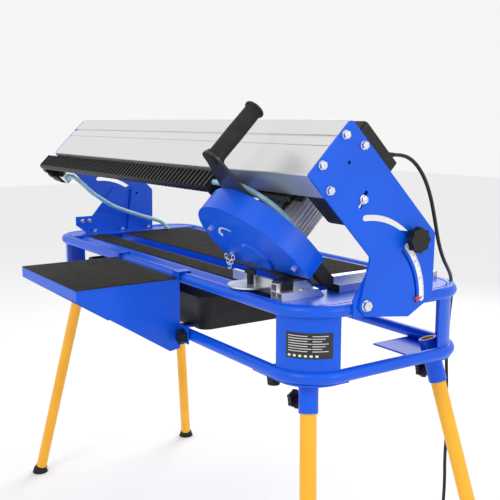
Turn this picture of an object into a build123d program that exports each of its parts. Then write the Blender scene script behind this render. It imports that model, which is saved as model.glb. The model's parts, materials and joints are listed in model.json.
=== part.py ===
"""Radial rail tile saw on a tubular stand, with its bridge tilted for a bevel cut.

Millimetres. X runs along the bridge, +Y to the rear, +Z up. The origin lies on the floor, in the
middle of the saw's footprint. The cut line is the plane Y = 0 when the bridge stands upright.
"""
import os
from math import cos, pi, radians, sin, sqrt, tan

from build123d import *

os.makedirs("parts", exist_ok=True)
pieces = {}

# ---- overall sizes ---------------------------------------------------------------------------
half_width = 721.0        # reach of the feet along X
half_depth = 382.0        # reach of the rear feet and of the side table along Y
pivot_z = 780.0           # height of the bevel pivots above the floor
bevel = 45.0              # tilt of the bridge as stored
bridge_x = 28.0           # middle of the bridge
fit = 0.05                # radial clearance of shafts and bolts in their holes
gap = 0.4                 # clearance between parts that move past each other
washer = 1.6              # washer under every bolt head
knob_hub = 9.0            # height of the hub under a star knob

# ---- planes ----------------------------------------------------------------------------------
bridge = Plane(
    origin=(0, 0, pivot_z), x_dir=(1, 0, 0), z_dir=(0, -sin(radians(bevel)), cos(radians(bevel)))
)


def across(x):
    """Plane across the tilted bridge; its local axes are the bridge's depth and height."""
    return Plane(origin=bridge.from_local_coords((x, 0, 0)), x_dir=bridge.y_dir, z_dir=(1, 0, 0))


def facing(y, x=0.0, z=0.0):
    """Plane in the tilted bridge that faces the operator; its local axes are X and height."""
    return Plane(origin=bridge.from_local_coords((x, y, z)), x_dir=(1, 0, 0), z_dir=-bridge.y_dir)


def end_plane(x):
    """Upright plane across the frame; local axes are Y and the height above the pivots."""
    return Plane(origin=(x, 0, pivot_z), x_dir=(0, 1, 0), z_dir=(1, 0, 0))


def outwards(x, side, y, z):
    """Plane at an end of the frame, at Y and the height above the pivots, facing away."""
    return Plane(origin=(x, y, pivot_z + z), x_dir=(0, 1, 0), z_dir=(side, 0, 0))


def hex_bolts(planes, flats, head, shank_r, shank):
    """Hex heads standing on the planes, each on its washer and with its shank below."""
    with BuildPart() as bolts:
        for plane in planes:
            with BuildSketch(plane.offset(washer)):
                RegularPolygon(flats / 2, 6, major_radius=False)
            extrude(amount=head)
            with BuildSketch(plane):
                Circle(flats * 0.62)
            extrude(amount=washer)
            with BuildSketch(plane):
                Circle(shank_r)
            extrude(amount=-shank)
    return bolts.part


def star_knobs(planes, radius, thick, lobes, stud_r, stud):
    """Lobed knobs on hubs that stand on the planes, each with its stud below."""
    with BuildPart() as knobs:
        for plane in planes:
            with BuildSketch(plane.offset(knob_hub)):
                Circle(radius * 0.86)
                with PolarLocations(radius * 0.80, lobes):
                    Circle(radius * 0.20)
            extrude(amount=thick)
            with BuildSketch(plane):
                Circle(radius * 0.42)
            extrude(amount=knob_hub)
            with BuildSketch(plane):
                Circle(stud_r)
            extrude(amount=-stud)
    return knobs.part


def block(low, high):
    """Add a block between its lowest and highest corners to the part that is being built."""
    with Locations(low):
        Box(*(b - a for a, b in zip(low, high)), align=Align.MIN)


def together(*parts):
    """Several pieces, kept as the separate solids of one node."""
    return Compound([solid for part in parts for solid in part.solids()])


# ---- tubular frame ---------------------------------------------------------------------------
ring_length = 1238.0      # outer size along X
ring_depth = 453.0        # outer size along Y
ring_y = 89.0             # middle of the rings
tube_r = 12.5
tube_wall = 2.0
bend_r = 85.0             # centreline radius of the corners
upper_drop = 8.0          # centreline of the upper ring below the pivots
ring_drop = 125.0         # between the rings' centrelines
post_sheet = 3.0
gusset_x = 165.0
gusset_y = 108.0
gusset_sheet = 4.0
upper_z = pivot_z - upper_drop
lower_z = upper_z - ring_drop
half_long = ring_length / 2 - tube_r
half_deep = ring_depth / 2 - tube_r
front_y = ring_y - half_deep
rear_y = ring_y + half_deep
outer_x = half_long + tube_r
inner_front = front_y + tube_r
inner_rear = rear_y - tube_r
gusset_z = lower_z - tube_r - gusset_sheet
corner_signs = [(x, y) for x in (1, -1) for y in (1, -1)]


def ring_tube(height):
    """One closed ring of bent tube: four straights and four corners."""
    with BuildPart() as ring:
        with BuildSketch(mode=Mode.PRIVATE) as plan:
            with Locations((0, ring_y)):
                RectangleRounded(2 * half_long, 2 * half_deep, bend_r)
        path = plan.sketch.faces()[0].outer_wire().moved(Location((0, 0, height)))
        with BuildSketch(Plane(origin=path @ 0, z_dir=path % 0)):
            Circle(tube_r)
            Circle(tube_r - tube_wall, mode=Mode.SUBTRACT)
        sweep(path=path)
    return ring.part


pieces["upper_ring"] = ring_tube(upper_z)
pieces["lower_ring"] = ring_tube(lower_z)

# rolled sheets that join the rings round each corner
with BuildPart() as corner_posts:
    for side_x, side_y in corner_signs:
        centre = (side_x * (half_long - bend_r), ring_y + side_y * (half_deep - bend_r))
        with BuildSketch(Plane.XY.offset(lower_z + tube_r)):
            with Locations(centre):
                Circle(bend_r + post_sheet / 2)
                Circle(bend_r - post_sheet / 2, mode=Mode.SUBTRACT)
            with Locations((centre[0] - side_x * 2 * bend_r, centre[1])):
                Rectangle(4 * bend_r, 4 * bend_r, mode=Mode.SUBTRACT)
            with Locations((centre[0], centre[1] - side_y * 2 * bend_r)):
                Rectangle(4 * bend_r, 4 * bend_r, mode=Mode.SUBTRACT)
        extrude(amount=ring_drop - 2 * tube_r)
pieces["corner_posts"] = corner_posts.part

# ---- legs, their sockets and the plates that carry them ----------------------------------------
leg_r = 16.0
leg_wall = 2.0
leg_inset = 62.0          # leg axis to the ring's outer edges, at the gusset
socket_wall = 3.0
socket_up = 34.0
socket_down = 60.0
foot_r = 24.0
foot_height = 16.0
foot_play = 0.2
pad_r = 14.0
pad_height = 18.0
pad_x = 128.0             # bench pad to the ring's outer edge along X
knob_r = 19.0

leg_x = outer_x - leg_inset
leg_y = ring_depth / 2 - leg_inset
legs_top = [(sx * leg_x, ring_y + sy * leg_y) for sx, sy in corner_signs]
rear_reach = half_depth - foot_r - (ring_y + ring_depth / 2 - leg_inset)
splay_x = half_width - foot_r - (outer_x - leg_inset)
leg_axes = []
for (side_x, side_y), (x, y) in zip(corner_signs, legs_top):
    down = Vector(side_x * splay_x, side_y * rear_reach, -gusset_z)
    leg_axes.append((Vector(x, y, gusset_z), down.normalized()))
leg_length = down.length


def along_leg(start, way, distance):
    """Plane across a leg, at a distance down from its gusset and facing down it."""
    return Plane(origin=start + way * distance, z_dir=way)


with BuildPart() as corner_gussets:
    for (side_x, side_y), (start, way) in zip(corner_signs, leg_axes):
        corner = (side_x * half_long, ring_y + side_y * half_deep)
        with BuildSketch(Plane.XY.offset(gusset_z)):
            with Locations((corner[0] - side_x * gusset_x / 2, corner[1] - side_y * gusset_y / 2)):
                Rectangle(gusset_x, gusset_y)
            far_vertex = vertices().sort_by(lambda v: (v.X * side_x + v.Y * side_y))[-1]
            fillet(far_vertex, bend_r - tube_r)
        extrude(amount=gusset_sheet)
        with BuildSketch(along_leg(start, way, -socket_up)):
            Circle(leg_r + socket_wall + 2 * fit)
        extrude(amount=socket_up + socket_down, mode=Mode.SUBTRACT)

def leg_screw(start, way, reach):
    """Plane square to a leg, on its inward side, at a reach from the leg's axis."""
    inward = Vector(-start.X, 0, 0).normalized()
    square = (inward - way * inward.dot(way)).normalized()
    return Plane(origin=start + way * (socket_down * 0.6) + square * reach, z_dir=square)


with BuildPart() as leg_sockets:
    for start, way in leg_axes:
        with BuildSketch(along_leg(start, way, -socket_up)):
            Circle(leg_r + socket_wall + fit)
            Circle(leg_r + fit, mode=Mode.SUBTRACT)
        extrude(amount=socket_up + socket_down)
        with BuildSketch(leg_screw(start, way, 0)):
            Circle(4 + fit)
        extrude(amount=3 * leg_r, mode=Mode.SUBTRACT)
pieces["leg_brackets"] = together(corner_gussets.part, leg_sockets.part)

# the foot stands level on the floor, so the tube ends a sole's height above it
sole = 5.0
tube_end = leg_length * (1 - sole / gusset_z)
with BuildPart() as legs:
    for start, way in leg_axes:
        with BuildSketch(along_leg(start, way, -socket_up)):
            Circle(leg_r)
            Circle(leg_r - leg_wall, mode=Mode.SUBTRACT)
        extrude(amount=socket_up + tube_end - leg_r)
pieces["legs"] = legs.part

with BuildPart() as leg_feet:
    for start, way in leg_axes:
        heel = start + way * leg_length
        with BuildSketch(along_leg(start, way, tube_end - leg_r)):
            Circle(leg_r + 2)
        extrude(amount=2 * leg_r)
        with Locations((heel.X, heel.Y, -foot_r)):
            Box(
                4 * foot_r, 4 * foot_r, foot_r,
                align=(Align.CENTER, Align.CENTER, Align.MIN), mode=Mode.SUBTRACT,
            )
        with BuildSketch(Plane.XY.offset(0)):
            with Locations((heel.X, heel.Y)):
                Circle(foot_r)
        extrude(amount=foot_height, taper=18)
        with BuildSketch(along_leg(start, way, tube_end - 2 * leg_r)):
            Circle(leg_r + foot_play)
        extrude(amount=leg_r, mode=Mode.SUBTRACT)
pieces["leg_feet"] = leg_feet.part

screw_out = 8.0           # from the leg's skin to the hub of its clamp screw
leg_screws = [leg_screw(start, way, leg_r + screw_out) for start, way in leg_axes]
pieces["leg_knobs"] = star_knobs(leg_screws, knob_r, 10, 6, 4, screw_out)

with BuildPart() as bench_pads:
    for side_x, side_y in corner_signs:
        with BuildSketch(Plane.XY.offset(gusset_z)):
            with Locations((side_x * (outer_x - pad_x), ring_y + side_y * (half_deep - pad_r - 2))):
                Circle(pad_r)
        extrude(amount=-pad_height, taper=6)
pieces["bench_pads"] = bench_pads.part

# ---- table -------------------------------------------------------------------------------------
sheet = 2.5
table_half = 518.0        # the pressed table's half length, between the ring's bends
lip_y = -80.0             # where the front slope meets the table top
slope_drop = 13.0
trough_front = -12.0
trough_rear = 44.0
trough_deep = 27.0
mat = 3.0
mat_front = -70.0
mat_rear = 268.0
mat_left = -507.0
mat_right = 485.0
fence_x = 525.0           # near face of the fence
fence_base = 36.0
end_sheet = 3.0
end_left = -509.0
end_right = 487.0
notch_front = -30.0       # the far end plate is open where the far tilt plate swings
notch_rear = 216.0
notch_x = 562.5
table_z = pivot_z

with BuildPart() as table_tray:
    with BuildSketch(end_plane(-table_half)):
        with BuildLine():
            Polyline(
                (inner_front + 1, -slope_drop), (lip_y, 0), (trough_front, 0),
                (trough_front, -trough_deep), (trough_rear, -trough_deep), (trough_rear, 0),
                (inner_rear - 8, 0), (inner_rear - 0.5, -slope_drop),
            )
            offset(amount=sheet, side=Side.RIGHT, kind=Kind.INTERSECTION)
        make_face()
    extrude(amount=2 * table_half)
    with Locations((0, (trough_front + trough_rear) / 2, table_z - trough_deep)):
        with Locations((-table_half * 0.5, 0, 0), (0, 0, 0), (table_half * 0.5, 0, 0)):
            Box(60, 12, 8, mode=Mode.SUBTRACT)
pieces["table_tray"] = table_tray.part

end_inset = sqrt(tube_r**2 - upper_drop**2) + 0.3
with BuildPart() as end_plates:
    for side, inner in ((1, end_right), (-1, -end_left)):
        edge = half_long - end_inset
        front, rear = front_y + end_inset, rear_y - end_inset
        with BuildSketch(Plane.XY.offset(table_z)):
            with Locations((side * (inner + edge) / 2, (front + rear) / 2)):
                Rectangle(edge - inner, rear - front)
            fillet(vertices().group_by(Axis.X)[-1 if side > 0 else 0], bend_r - end_inset)
            if side < 0:
                with Locations((-notch_x - half_long, (notch_front + notch_rear) / 2)):
                    Rectangle(2 * half_long, notch_rear - notch_front, mode=Mode.SUBTRACT)
        extrude(amount=end_sheet)
pieces["end_plates"] = end_plates.part


with BuildPart() as table_mats:
    for low, high in ((mat_front, trough_front), (trough_rear, mat_rear)):
        block((mat_left, low, table_z), (mat_right, high, table_z + mat))
pieces["table_mats"] = table_mats.part

# two channels carry the table tray from below, and two straps carry the tub
cross_deep = 12.0
with BuildPart() as table_bearers:
    for x in (-390.0, 390.0):
        under_front = table_z - sheet
        block((x - 15, lip_y + 4, under_front - cross_deep), (x + 15, trough_front - 4, under_front))
        block((x - 15, trough_rear + 4, under_front - cross_deep), (x + 15, inner_rear - 16, under_front))
strap = 5.0
strap_half = 15.0
strap_places = (-372.0, 118.0)
with BuildPart() as tub_straps:
    for x in strap_places:
        block(
            (x - strap_half, inner_front + 0.6, lower_z - strap / 2),
            (x + strap_half, inner_rear - 0.6, lower_z + strap / 2),
        )
pieces["cross_bearers"] = together(table_bearers.part, tub_straps.part)

# ---- water tub, drain plug and pump ------------------------------------------------------------
tub_left = -452.0
tub_right = 200.0
tub_front = -98.0
tub_rear = 276.0
tub_base = lower_z + strap / 2
tub_high = 78.0
tub_wall = 3.0
tub_rim = 5.0
tub_mid = ((tub_left + tub_right) / 2, (tub_front + tub_rear) / 2)
tub_size = (tub_right - tub_left, tub_rear - tub_front)
plug_x = 60.0
plug_r = 9.0
with BuildPart() as water_tub:
    with BuildSketch(Plane.XY.offset(tub_base)):
        with Locations(tub_mid):
            RectangleRounded(tub_size[0] - 16, tub_size[1] - 16, 22)
    extrude(amount=tub_high - tub_rim, taper=-4)
    with BuildSketch(Plane.XY.offset(tub_base + tub_wall)):
        with Locations(tub_mid):
            RectangleRounded(tub_size[0] - 16 - 2 * tub_wall, tub_size[1] - 16 - 2 * tub_wall, 20)
    extrude(amount=tub_high, taper=-4, mode=Mode.SUBTRACT)
    with BuildSketch(Plane.XY.offset(tub_base + tub_high - tub_rim)):
        with Locations(tub_mid):
            RectangleRounded(tub_size[0] + 4, tub_size[1] + 4, 26)
            RectangleRounded(tub_size[0] - 12, tub_size[1] - 12, 20, mode=Mode.SUBTRACT)
    extrude(amount=tub_rim)
    with BuildSketch(Plane.XY.offset(tub_base)):
        with Locations((plug_x, tub_front + 60)):
            Circle(plug_r + fit)
    extrude(amount=tub_wall, mode=Mode.SUBTRACT)
pieces["water_tub"] = water_tub.part

with BuildPart() as drain_plug:
    with BuildSketch(Plane.XY.offset(tub_base - 6)):
        with Locations((plug_x, tub_front + 60)):
            Circle(plug_r)
    extrude(amount=6 + tub_wall + 2)
    with BuildSketch(Plane.XY.offset(tub_base - 6)):
        with Locations((plug_x, tub_front + 60)):
            Circle(plug_r + 3)
    extrude(amount=5.9)
pieces["drain_plug"] = drain_plug.part

pump_x = -400.0
pump_y = 205.0
with BuildPart() as pump_body:
    with BuildSketch(Plane.XY.offset(tub_base + tub_wall)):
        with Locations((pump_x, pump_y)):
            RectangleRounded(62, 48, 8)
    extrude(amount=46)
    with BuildSketch(Plane.XY.offset(tub_base + tub_wall + 46)):
        with Locations((pump_x, pump_y)):
            Circle(8)
    extrude(amount=12)
    with BuildSketch(Plane.XY.offset(tub_base + tub_wall + 20)):
        with Locations((pump_x, pump_y)):
            Circle(4)
    extrude(amount=40, mode=Mode.SUBTRACT)
pieces["pump_body"] = pump_body.part

# ---- fence: a stepped hollow bar in two lengths, parted for the blade ----------------------------
fence_low = 15.0
fence_top = 30.0
fence_back = 18.0
fence_wall = 1.8
fence_front_end = -115.0
fence_rear_start = 24.0
fence_rear_end = 294.0
blade_room = 7.0          # from the blade's plane to the mitred end of the front fence
fence_z = table_z + end_sheet
fence_left = fence_x - fence_base


def fence_bar(front, rear):
    """A length of the fence between two values of Y."""
    with BuildPart() as bar:
        with BuildSketch(Plane(origin=(0, front, 0), x_dir=(-1, 0, 0), z_dir=(0, 1, 0))):
            with BuildLine():
                Polyline(
                    (-fence_x, fence_z), (-fence_left, fence_z), (-fence_left, fence_z + fence_top),
                    (-fence_left - fence_back, fence_z + fence_top),
                    (-fence_left - fence_back, fence_z + fence_low),
                    (-fence_x, fence_z + fence_low), close=True,
                )
            make_face()
            cell = fence_back - 1.5 * fence_wall
            high = fence_low - 1.5 * fence_wall
            cells = [(fence_left + fence_back / 2, fence_top - high / 2 - fence_wall)]
            cells += [(fence_left + fence_back / 2, high / 2 + fence_wall)]
            cells += [(fence_x - fence_back / 2, high / 2 + fence_wall * 0.75)]
            with Locations(*[(-x, fence_z + z) for x, z in cells]):
                Rectangle(cell, high, mode=Mode.SUBTRACT)
        extrude(amount=rear - front)
    return bar.part


with BuildPart() as fence_front:
    add(fence_bar(fence_front_end, 0))
    split(bisect_by=facing(-blade_room), keep=Keep.TOP)
pieces["fence_bars"] = together(fence_front.part, fence_bar(fence_rear_start, fence_rear_end))

with BuildPart() as fence_caps:
    cap = 2.0
    for low, high in ((fence_rear_start - cap, fence_rear_start), (fence_rear_end, fence_rear_end + cap)):
        block((fence_left, low, fence_z), (fence_x, high, fence_z + fence_low))
        block((fence_left, low, fence_z + fence_low), (fence_left + fence_back, high, fence_z + fence_top))
pieces["fence_caps"] = fence_caps.part

# ---- mitre gauge on the front fence ---------------------------------------------------------------
gauge_y = -92.0
gauge_grip = 26.0         # width of the clamp along the fence
gauge_pivot = (385.0, gauge_y)
gauge_z = table_z + mat + gap
disc_r = 46.0
disc_sheet = 3.0
stop_long = 150.0
stop_high = 20.0
stop_thick = 8.0
tee_r = 7.0
tee_high = 30.0
clamp_wall = 5.0
clamp_left = fence_left - 8
clamp_right = fence_left + fence_back + clamp_wall
clamp_high = fence_z + fence_top + clamp_wall
clamp_front = gauge_y - gauge_grip / 2
clamp_rear = gauge_y + gauge_grip / 2
with BuildPart() as gauge_clamp:
    block((clamp_left, clamp_front, gauge_z), (fence_left - gap, clamp_rear, clamp_high))
    block((clamp_left, clamp_front, fence_z + fence_top + gap), (clamp_right, clamp_rear, clamp_high))
    block(
        (clamp_right - clamp_wall + gap, clamp_front, fence_z + fence_low + gap),
        (clamp_right, clamp_rear, clamp_high),
    )
    block((gauge_pivot[0] - 20, clamp_front, gauge_z), (clamp_left, clamp_rear, gauge_z + 4))
    with BuildSketch(Plane.XY.offset(gauge_z)):
        with Locations(gauge_pivot):
            Circle(4 + fit)
    extrude(amount=10, mode=Mode.SUBTRACT)

arm_z = gauge_z + 4 + gap
with BuildPart() as gauge_arm:
    with BuildSketch(Plane.XY.offset(arm_z)):
        with Locations(gauge_pivot):
            Circle(disc_r)
        with Locations((gauge_pivot[0], gauge_y + 1.4 * disc_r)):
            Rectangle(3 * disc_r, 2 * disc_r, mode=Mode.SUBTRACT)
    extrude(amount=disc_sheet)
    with BuildSketch(Plane.XY.offset(arm_z)):
        with Locations((gauge_pivot[0] - 6, gauge_y + 0.4 * disc_r - stop_thick / 2)):
            Rectangle(stop_long, stop_thick)
    extrude(amount=stop_high)
    with BuildSketch(Plane.XY.offset(arm_z)):
        with Locations(gauge_pivot):
            Circle(4 + fit)
    extrude(amount=10, mode=Mode.SUBTRACT)
pieces["gauge_arm"] = gauge_arm.part

with BuildPart() as gauge_knob:
    knob_foot = arm_z + disc_sheet + gap
    with BuildSketch(Plane.XY.offset(gauge_z)):
        with Locations(gauge_pivot):
            Circle(4)
    extrude(amount=knob_foot - gauge_z)
    with BuildSketch(Plane.XY.offset(knob_foot)):
        with Locations(gauge_pivot):
            Circle(tee_r)
    extrude(amount=tee_high)
    with BuildSketch(Plane.XY.offset(knob_foot + tee_high - 9)):
        with Locations(gauge_pivot):
            SlotOverall(34, 10)
    extrude(amount=9)
pieces["gauge_knob"] = gauge_knob.part

with BuildPart() as gauge_screw:
    screw_x = fence_left - 8
    with BuildSketch(Plane(origin=(screw_x, gauge_y, fence_z + fence_top - 7), z_dir=(-1, 0, 0))):
        Circle(9)
    extrude(amount=10)
pieces["gauge_clamp"] = together(gauge_clamp.part, gauge_screw.part)

# ---- side table -------------------------------------------------------------------------------------
side_left = -158.0
side_right = 178.0
side_room = 3.5           # between the side table and the rings
side_inner = front_y - tube_r - side_room
side_top = 3.0            # thickness of its mat
side_z = pivot_z - 5.0    # top of the mat
side_sheet = 2.5
side_flange = 26.0
side_drop = 160.0
hook_wide = 26.0
hook_sheet = 3.0
brace_wide = 40.0
with BuildPart() as side_table_frame:
    block(
        (side_left, -half_depth, side_z - side_top - side_sheet),
        (side_right, side_inner, side_z - side_top),
    )
    block(
        (side_left, -half_depth, side_z - side_flange),
        (side_right, -half_depth + side_sheet, side_z - side_top),
    )
    for x in (side_left, side_right - side_sheet):
        with BuildSketch(Plane(origin=(x, 0, side_z), x_dir=(0, 1, 0), z_dir=(1, 0, 0))):
            with BuildLine():
                Polyline(
                    (-half_depth, -side_top), (side_inner, -side_top), (side_inner, -side_drop),
                    (side_inner - 26, -side_drop - 4), (-half_depth, -side_flange), close=True,
                )
            make_face()
        extrude(amount=side_sheet)
    for x in (side_left, side_right - hook_wide):
        hook_top = upper_z + tube_r + gap
        block((x, side_inner - hook_sheet, side_z - 58), (x + hook_wide, side_inner, hook_top + hook_sheet))
        block((x, side_inner, hook_top), (x + hook_wide, front_y + tube_r + 1, hook_top + hook_sheet))
        block(
            (x, front_y + tube_r - 1, upper_z + 7),
            (x + hook_wide, front_y + tube_r + 1, hook_top + hook_sheet),
        )
    for x in (side_left - brace_wide, side_right):
        block((x, side_inner - side_sheet, lower_z - 15), (x + brace_wide, side_inner, lower_z + 24))
        with BuildSketch(Plane(origin=(x + brace_wide / 2, side_inner, lower_z), z_dir=(0, -1, 0))):
            Circle(4 + fit)
        extrude(amount=side_sheet + 2, mode=Mode.SUBTRACT)
pieces["side_table_frame"] = side_table_frame.part

with BuildPart() as side_table_mat:
    block((side_left, -half_depth, side_z - side_top), (side_right, side_inner - 3.2, side_z))
pieces["side_table_mat"] = side_table_mat.part

side_knob_x = (side_left - brace_wide / 2, side_right + brace_wide / 2)
side_knob_y = front_y - tube_r - 0.6
with BuildPart() as side_table_knobs:
    for x in side_knob_x:
        with BuildSketch(Plane(origin=(x, side_knob_y, lower_z), z_dir=(0, -1, 0))):
            Circle(4)
        extrude(amount=side_knob_y - side_inner + side_sheet + 8)
        with BuildSketch(Plane(origin=(x, side_inner - side_sheet - gap, lower_z), z_dir=(0, -1, 0))):
            Circle(15)
            with PolarLocations(14, 6):
                Circle(4)
        extrude(amount=12)
pieces["side_table_knobs"] = side_table_knobs.part

# ---- brackets fixed to the frame, and the plates that tilt on them --------------------------------
bracket_sheet = 4.0
plate_sheet = 4.5
pivot_r = 5.0
stud_r = 4.0
stud_place = (115.0, 115.0)          # clamp stud from the pivot, at 45 degrees
stud_radius = sqrt(stud_place[0] ** 2 + stud_place[1] ** 2)
pointer_radius = 129.0
pointer_angle = -1.0
near_bracket_x = outer_x
near_plate_x = near_bracket_x + bracket_sheet + gap
near_face = near_plate_x + plate_sheet
far_face = 2 * bridge_x - near_face
far_plate_x = far_face + plate_sheet           # inner face of the far plate
far_bracket_x = far_plate_x + gap
pointer_place = (
    pointer_radius * cos(radians(pointer_angle)), pointer_radius * sin(radians(pointer_angle))
)

bracket_holes = ((0, 0, pivot_r), (*stud_place, stud_r), (*pointer_place, 2.0))


def punch(holes):
    """Cut round holes, given as two local places and a radius, from the sketch being made."""
    for y, z, r in holes:
        with Locations((y, z)):
            Circle(r + fit, mode=Mode.SUBTRACT)


with BuildPart() as near_bracket:
    with BuildSketch(end_plane(near_bracket_x)):
        with BuildLine():
            Polyline(
                (-25, -22), (104, -22), (140, -10), (165, 2), (165, 122), (60, 137), (-25, 12), close=True
            )
        make_face()
        fillet(vertices().group_by(Axis.Y)[-2], 14)
        punch(bracket_holes)
    extrude(amount=bracket_sheet)

far_foot = fence_z - pivot_z
foot_x = far_bracket_x + bracket_sheet
foot_bolts = [outwards(foot_x, 1, y, 38) for y in (-62, -40)]
foot_bolts += [Plane(origin=(foot_x + 16, y, fence_z + bracket_sheet)) for y in (-30, 60, 148)]
with BuildPart() as far_bracket:
    with BuildSketch(end_plane(far_bracket_x)):
        with BuildLine():
            Polyline(
                (-50, far_foot), (notch_front + 1, far_foot), (notch_front + 1, -22), (104, -22), (140, -10),
                (158, far_foot), (158, 132), (40, 132), (-30, 52), (-82, 52), (-82, 26), close=True,
            )
        make_face()
        fillet(vertices().group_by(Axis.Y)[-1].sort_by(Axis.X)[-1], 16)
        punch(bracket_holes)
    extrude(amount=bracket_sheet)
    block((foot_x, -50, fence_z), (foot_x + 26, 158, fence_z + bracket_sheet))
    with BuildSketch(end_plane(foot_x)):
        with BuildLine():
            Polyline((82, far_foot + 4), (140, far_foot + 4), (132, 128), (98, 128), close=True)
        make_face()
        with Locations(stud_place):
            Circle(stud_r + fit, mode=Mode.SUBTRACT)
    extrude(amount=10)
    for plane in foot_bolts:
        with BuildSketch(plane):
            Circle(3 + fit)
        extrude(amount=-bracket_sheet, mode=Mode.SUBTRACT)
pieces["end_brackets"] = together(near_bracket.part, far_bracket.part)

rail_front = 76.0
rail_rear = 211.0
rail_bottom = 208.0
rail_top = 270.0
rail_bolts = [(89, 217), (198, 217), (108, 261), (181, 261)]
rail_bolt_r = 4.0
clamp_slot = CenterArc((0, 0), stud_radius, -2, bevel + 4)
pointer_slot = CenterArc((0, 0), pointer_radius, pointer_angle - bevel - 2, bevel + 4)
pivots = [outwards(near_face, 1, 0, 0), outwards(far_face, -1, 0, 0)]
with BuildPart() as tilt_plates:
    for x in (near_plate_x, far_face):
        with BuildSketch(across(x)):
            with BuildLine():
                Polyline(
                    (rail_front - 1, rail_top), (rail_rear, rail_top), (rail_rear, -38),
                    (120, -126), (88, -114), (53, -103), (-14, -16), (-14, 8), (70, 56), close=True,
                )
            make_face()
            fillet(vertices(), 8)
            punch([(0, 0, pivot_r), (154, 219, 3.5)] + [(*place, rail_bolt_r) for place in rail_bolts])
            SlotArc(clamp_slot, 2 * stud_r + 3, mode=Mode.SUBTRACT)
            SlotArc(pointer_slot, 6, mode=Mode.SUBTRACT)
            with Locations((131, 147)):
                SlotOverall(36, 8.4, rotation=15, mode=Mode.SUBTRACT)
        extrude(amount=plate_sheet)
pieces["tilt_plates"] = tilt_plates.part

# pivots: bolts through plate and bracket
pivot_bolts = hex_bolts(pivots, 17, 7, pivot_r, plate_sheet + gap + bracket_sheet)
pieces["frame_bolts"] = together(pivot_bolts, hex_bolts(foot_bolts, 10, 5, 3, bracket_sheet * 0.5))

plate_planes = []
for x, side in ((near_face, 1), (far_face, -1)):
    for y, z in rail_bolts:
        origin = across(x).from_local_coords((y, z, 0))
        plate_planes.append(Plane(origin=origin, x_dir=bridge.y_dir, z_dir=(side, 0, 0)))
pieces["rail_bolts"] = hex_bolts(plate_planes, 13, 6, rail_bolt_r, plate_sheet + 14)

scale_in = 138.0
scale_out = 150.0
scale_arc = CenterArc((0, 0), (scale_in + scale_out) / 2, -bevel - 1, bevel + 1)
with BuildPart() as angle_scales:
    for x, amount in ((near_face, 0.6), (far_face, -0.6)):
        with BuildSketch(across(x)):
            SlotArc(scale_arc, scale_out - scale_in)
        extrude(amount=amount)
pieces["angle_scales"] = angle_scales.part

# a pointer rides in the slot beside each scale, screwed to the fixed bracket
with BuildPart() as pointers:
    for x, side in ((near_face, 1), (far_face, -1)):
        tip = outwards(x + side * (0.6 + gap), side, *pointer_place)
        with BuildSketch(tip.offset(1)):
            Circle(5)
        extrude(amount=2.2)
        with BuildSketch(tip):
            Circle(4.4)
            with Locations((8, 0)):
                Rectangle(12, 3)
        extrude(amount=1)
        with BuildSketch(tip):
            Circle(2)
        extrude(amount=-(plate_sheet + 2 * gap + 0.6 + bracket_sheet))
pieces["pointers"] = pointers.part

clamp_planes = [outwards(x + side * gap, side, *stud_place) for x, side in ((near_face, 1), (far_face, -1))]
knob_out = 25.0
stud_long = plate_sheet + 2 * gap + bracket_sheet
pieces["near_clamp_knob"] = star_knobs(clamp_planes[:1], knob_out, 14, 8, stud_r, stud_long)
pieces["far_clamp_knob"] = star_knobs(clamp_planes[1:], knob_out, 14, 8, stud_r, stud_long)

# ---- rail: an extruded box, open below for the carriage --------------------------------------------
rail_wall = 4.0
ledge = 5.0
slot_front = 114.0
slot_rear = 173.0
port_r = 7.0
rail_left = far_plate_x
rail_right = near_plate_x
with BuildPart() as rail:
    with BuildSketch(across(rail_left)):
        with Locations(((rail_front + rail_rear) / 2, (rail_bottom + rail_top) / 2)):
            RectangleRounded(rail_rear - rail_front, rail_top - rail_bottom, 3)
        inner_low = rail_bottom + ledge
        with Locations(((rail_front + rail_rear) / 2, (inner_low + rail_top - rail_wall) / 2)):
            Rectangle(
                rail_rear - rail_front - 2 * rail_wall, rail_top - rail_wall - inner_low, mode=Mode.SUBTRACT
            )
        with Locations(*rail_bolts):
            Circle(port_r)
        with Locations(*[(y, rail_bottom - port_r) for y, z in rail_bolts[:2]]):
            Rectangle(4 * port_r, 2 * port_r, mode=Mode.SUBTRACT)
        with Locations(*rail_bolts):
            Circle(rail_bolt_r, mode=Mode.SUBTRACT)
        with Locations(((slot_front + slot_rear) / 2, rail_bottom)):
            Rectangle(slot_rear - slot_front, 3 * ledge, mode=Mode.SUBTRACT)
        with Locations((168, rail_top)):
            Rectangle(7, 4.4, mode=Mode.SUBTRACT)
        with Locations((145, rail_top)):
            Rectangle(2.4, 2.4, mode=Mode.SUBTRACT)
    extrude(amount=rail_right - rail_left)
pieces["rail"] = rail.part

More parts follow.
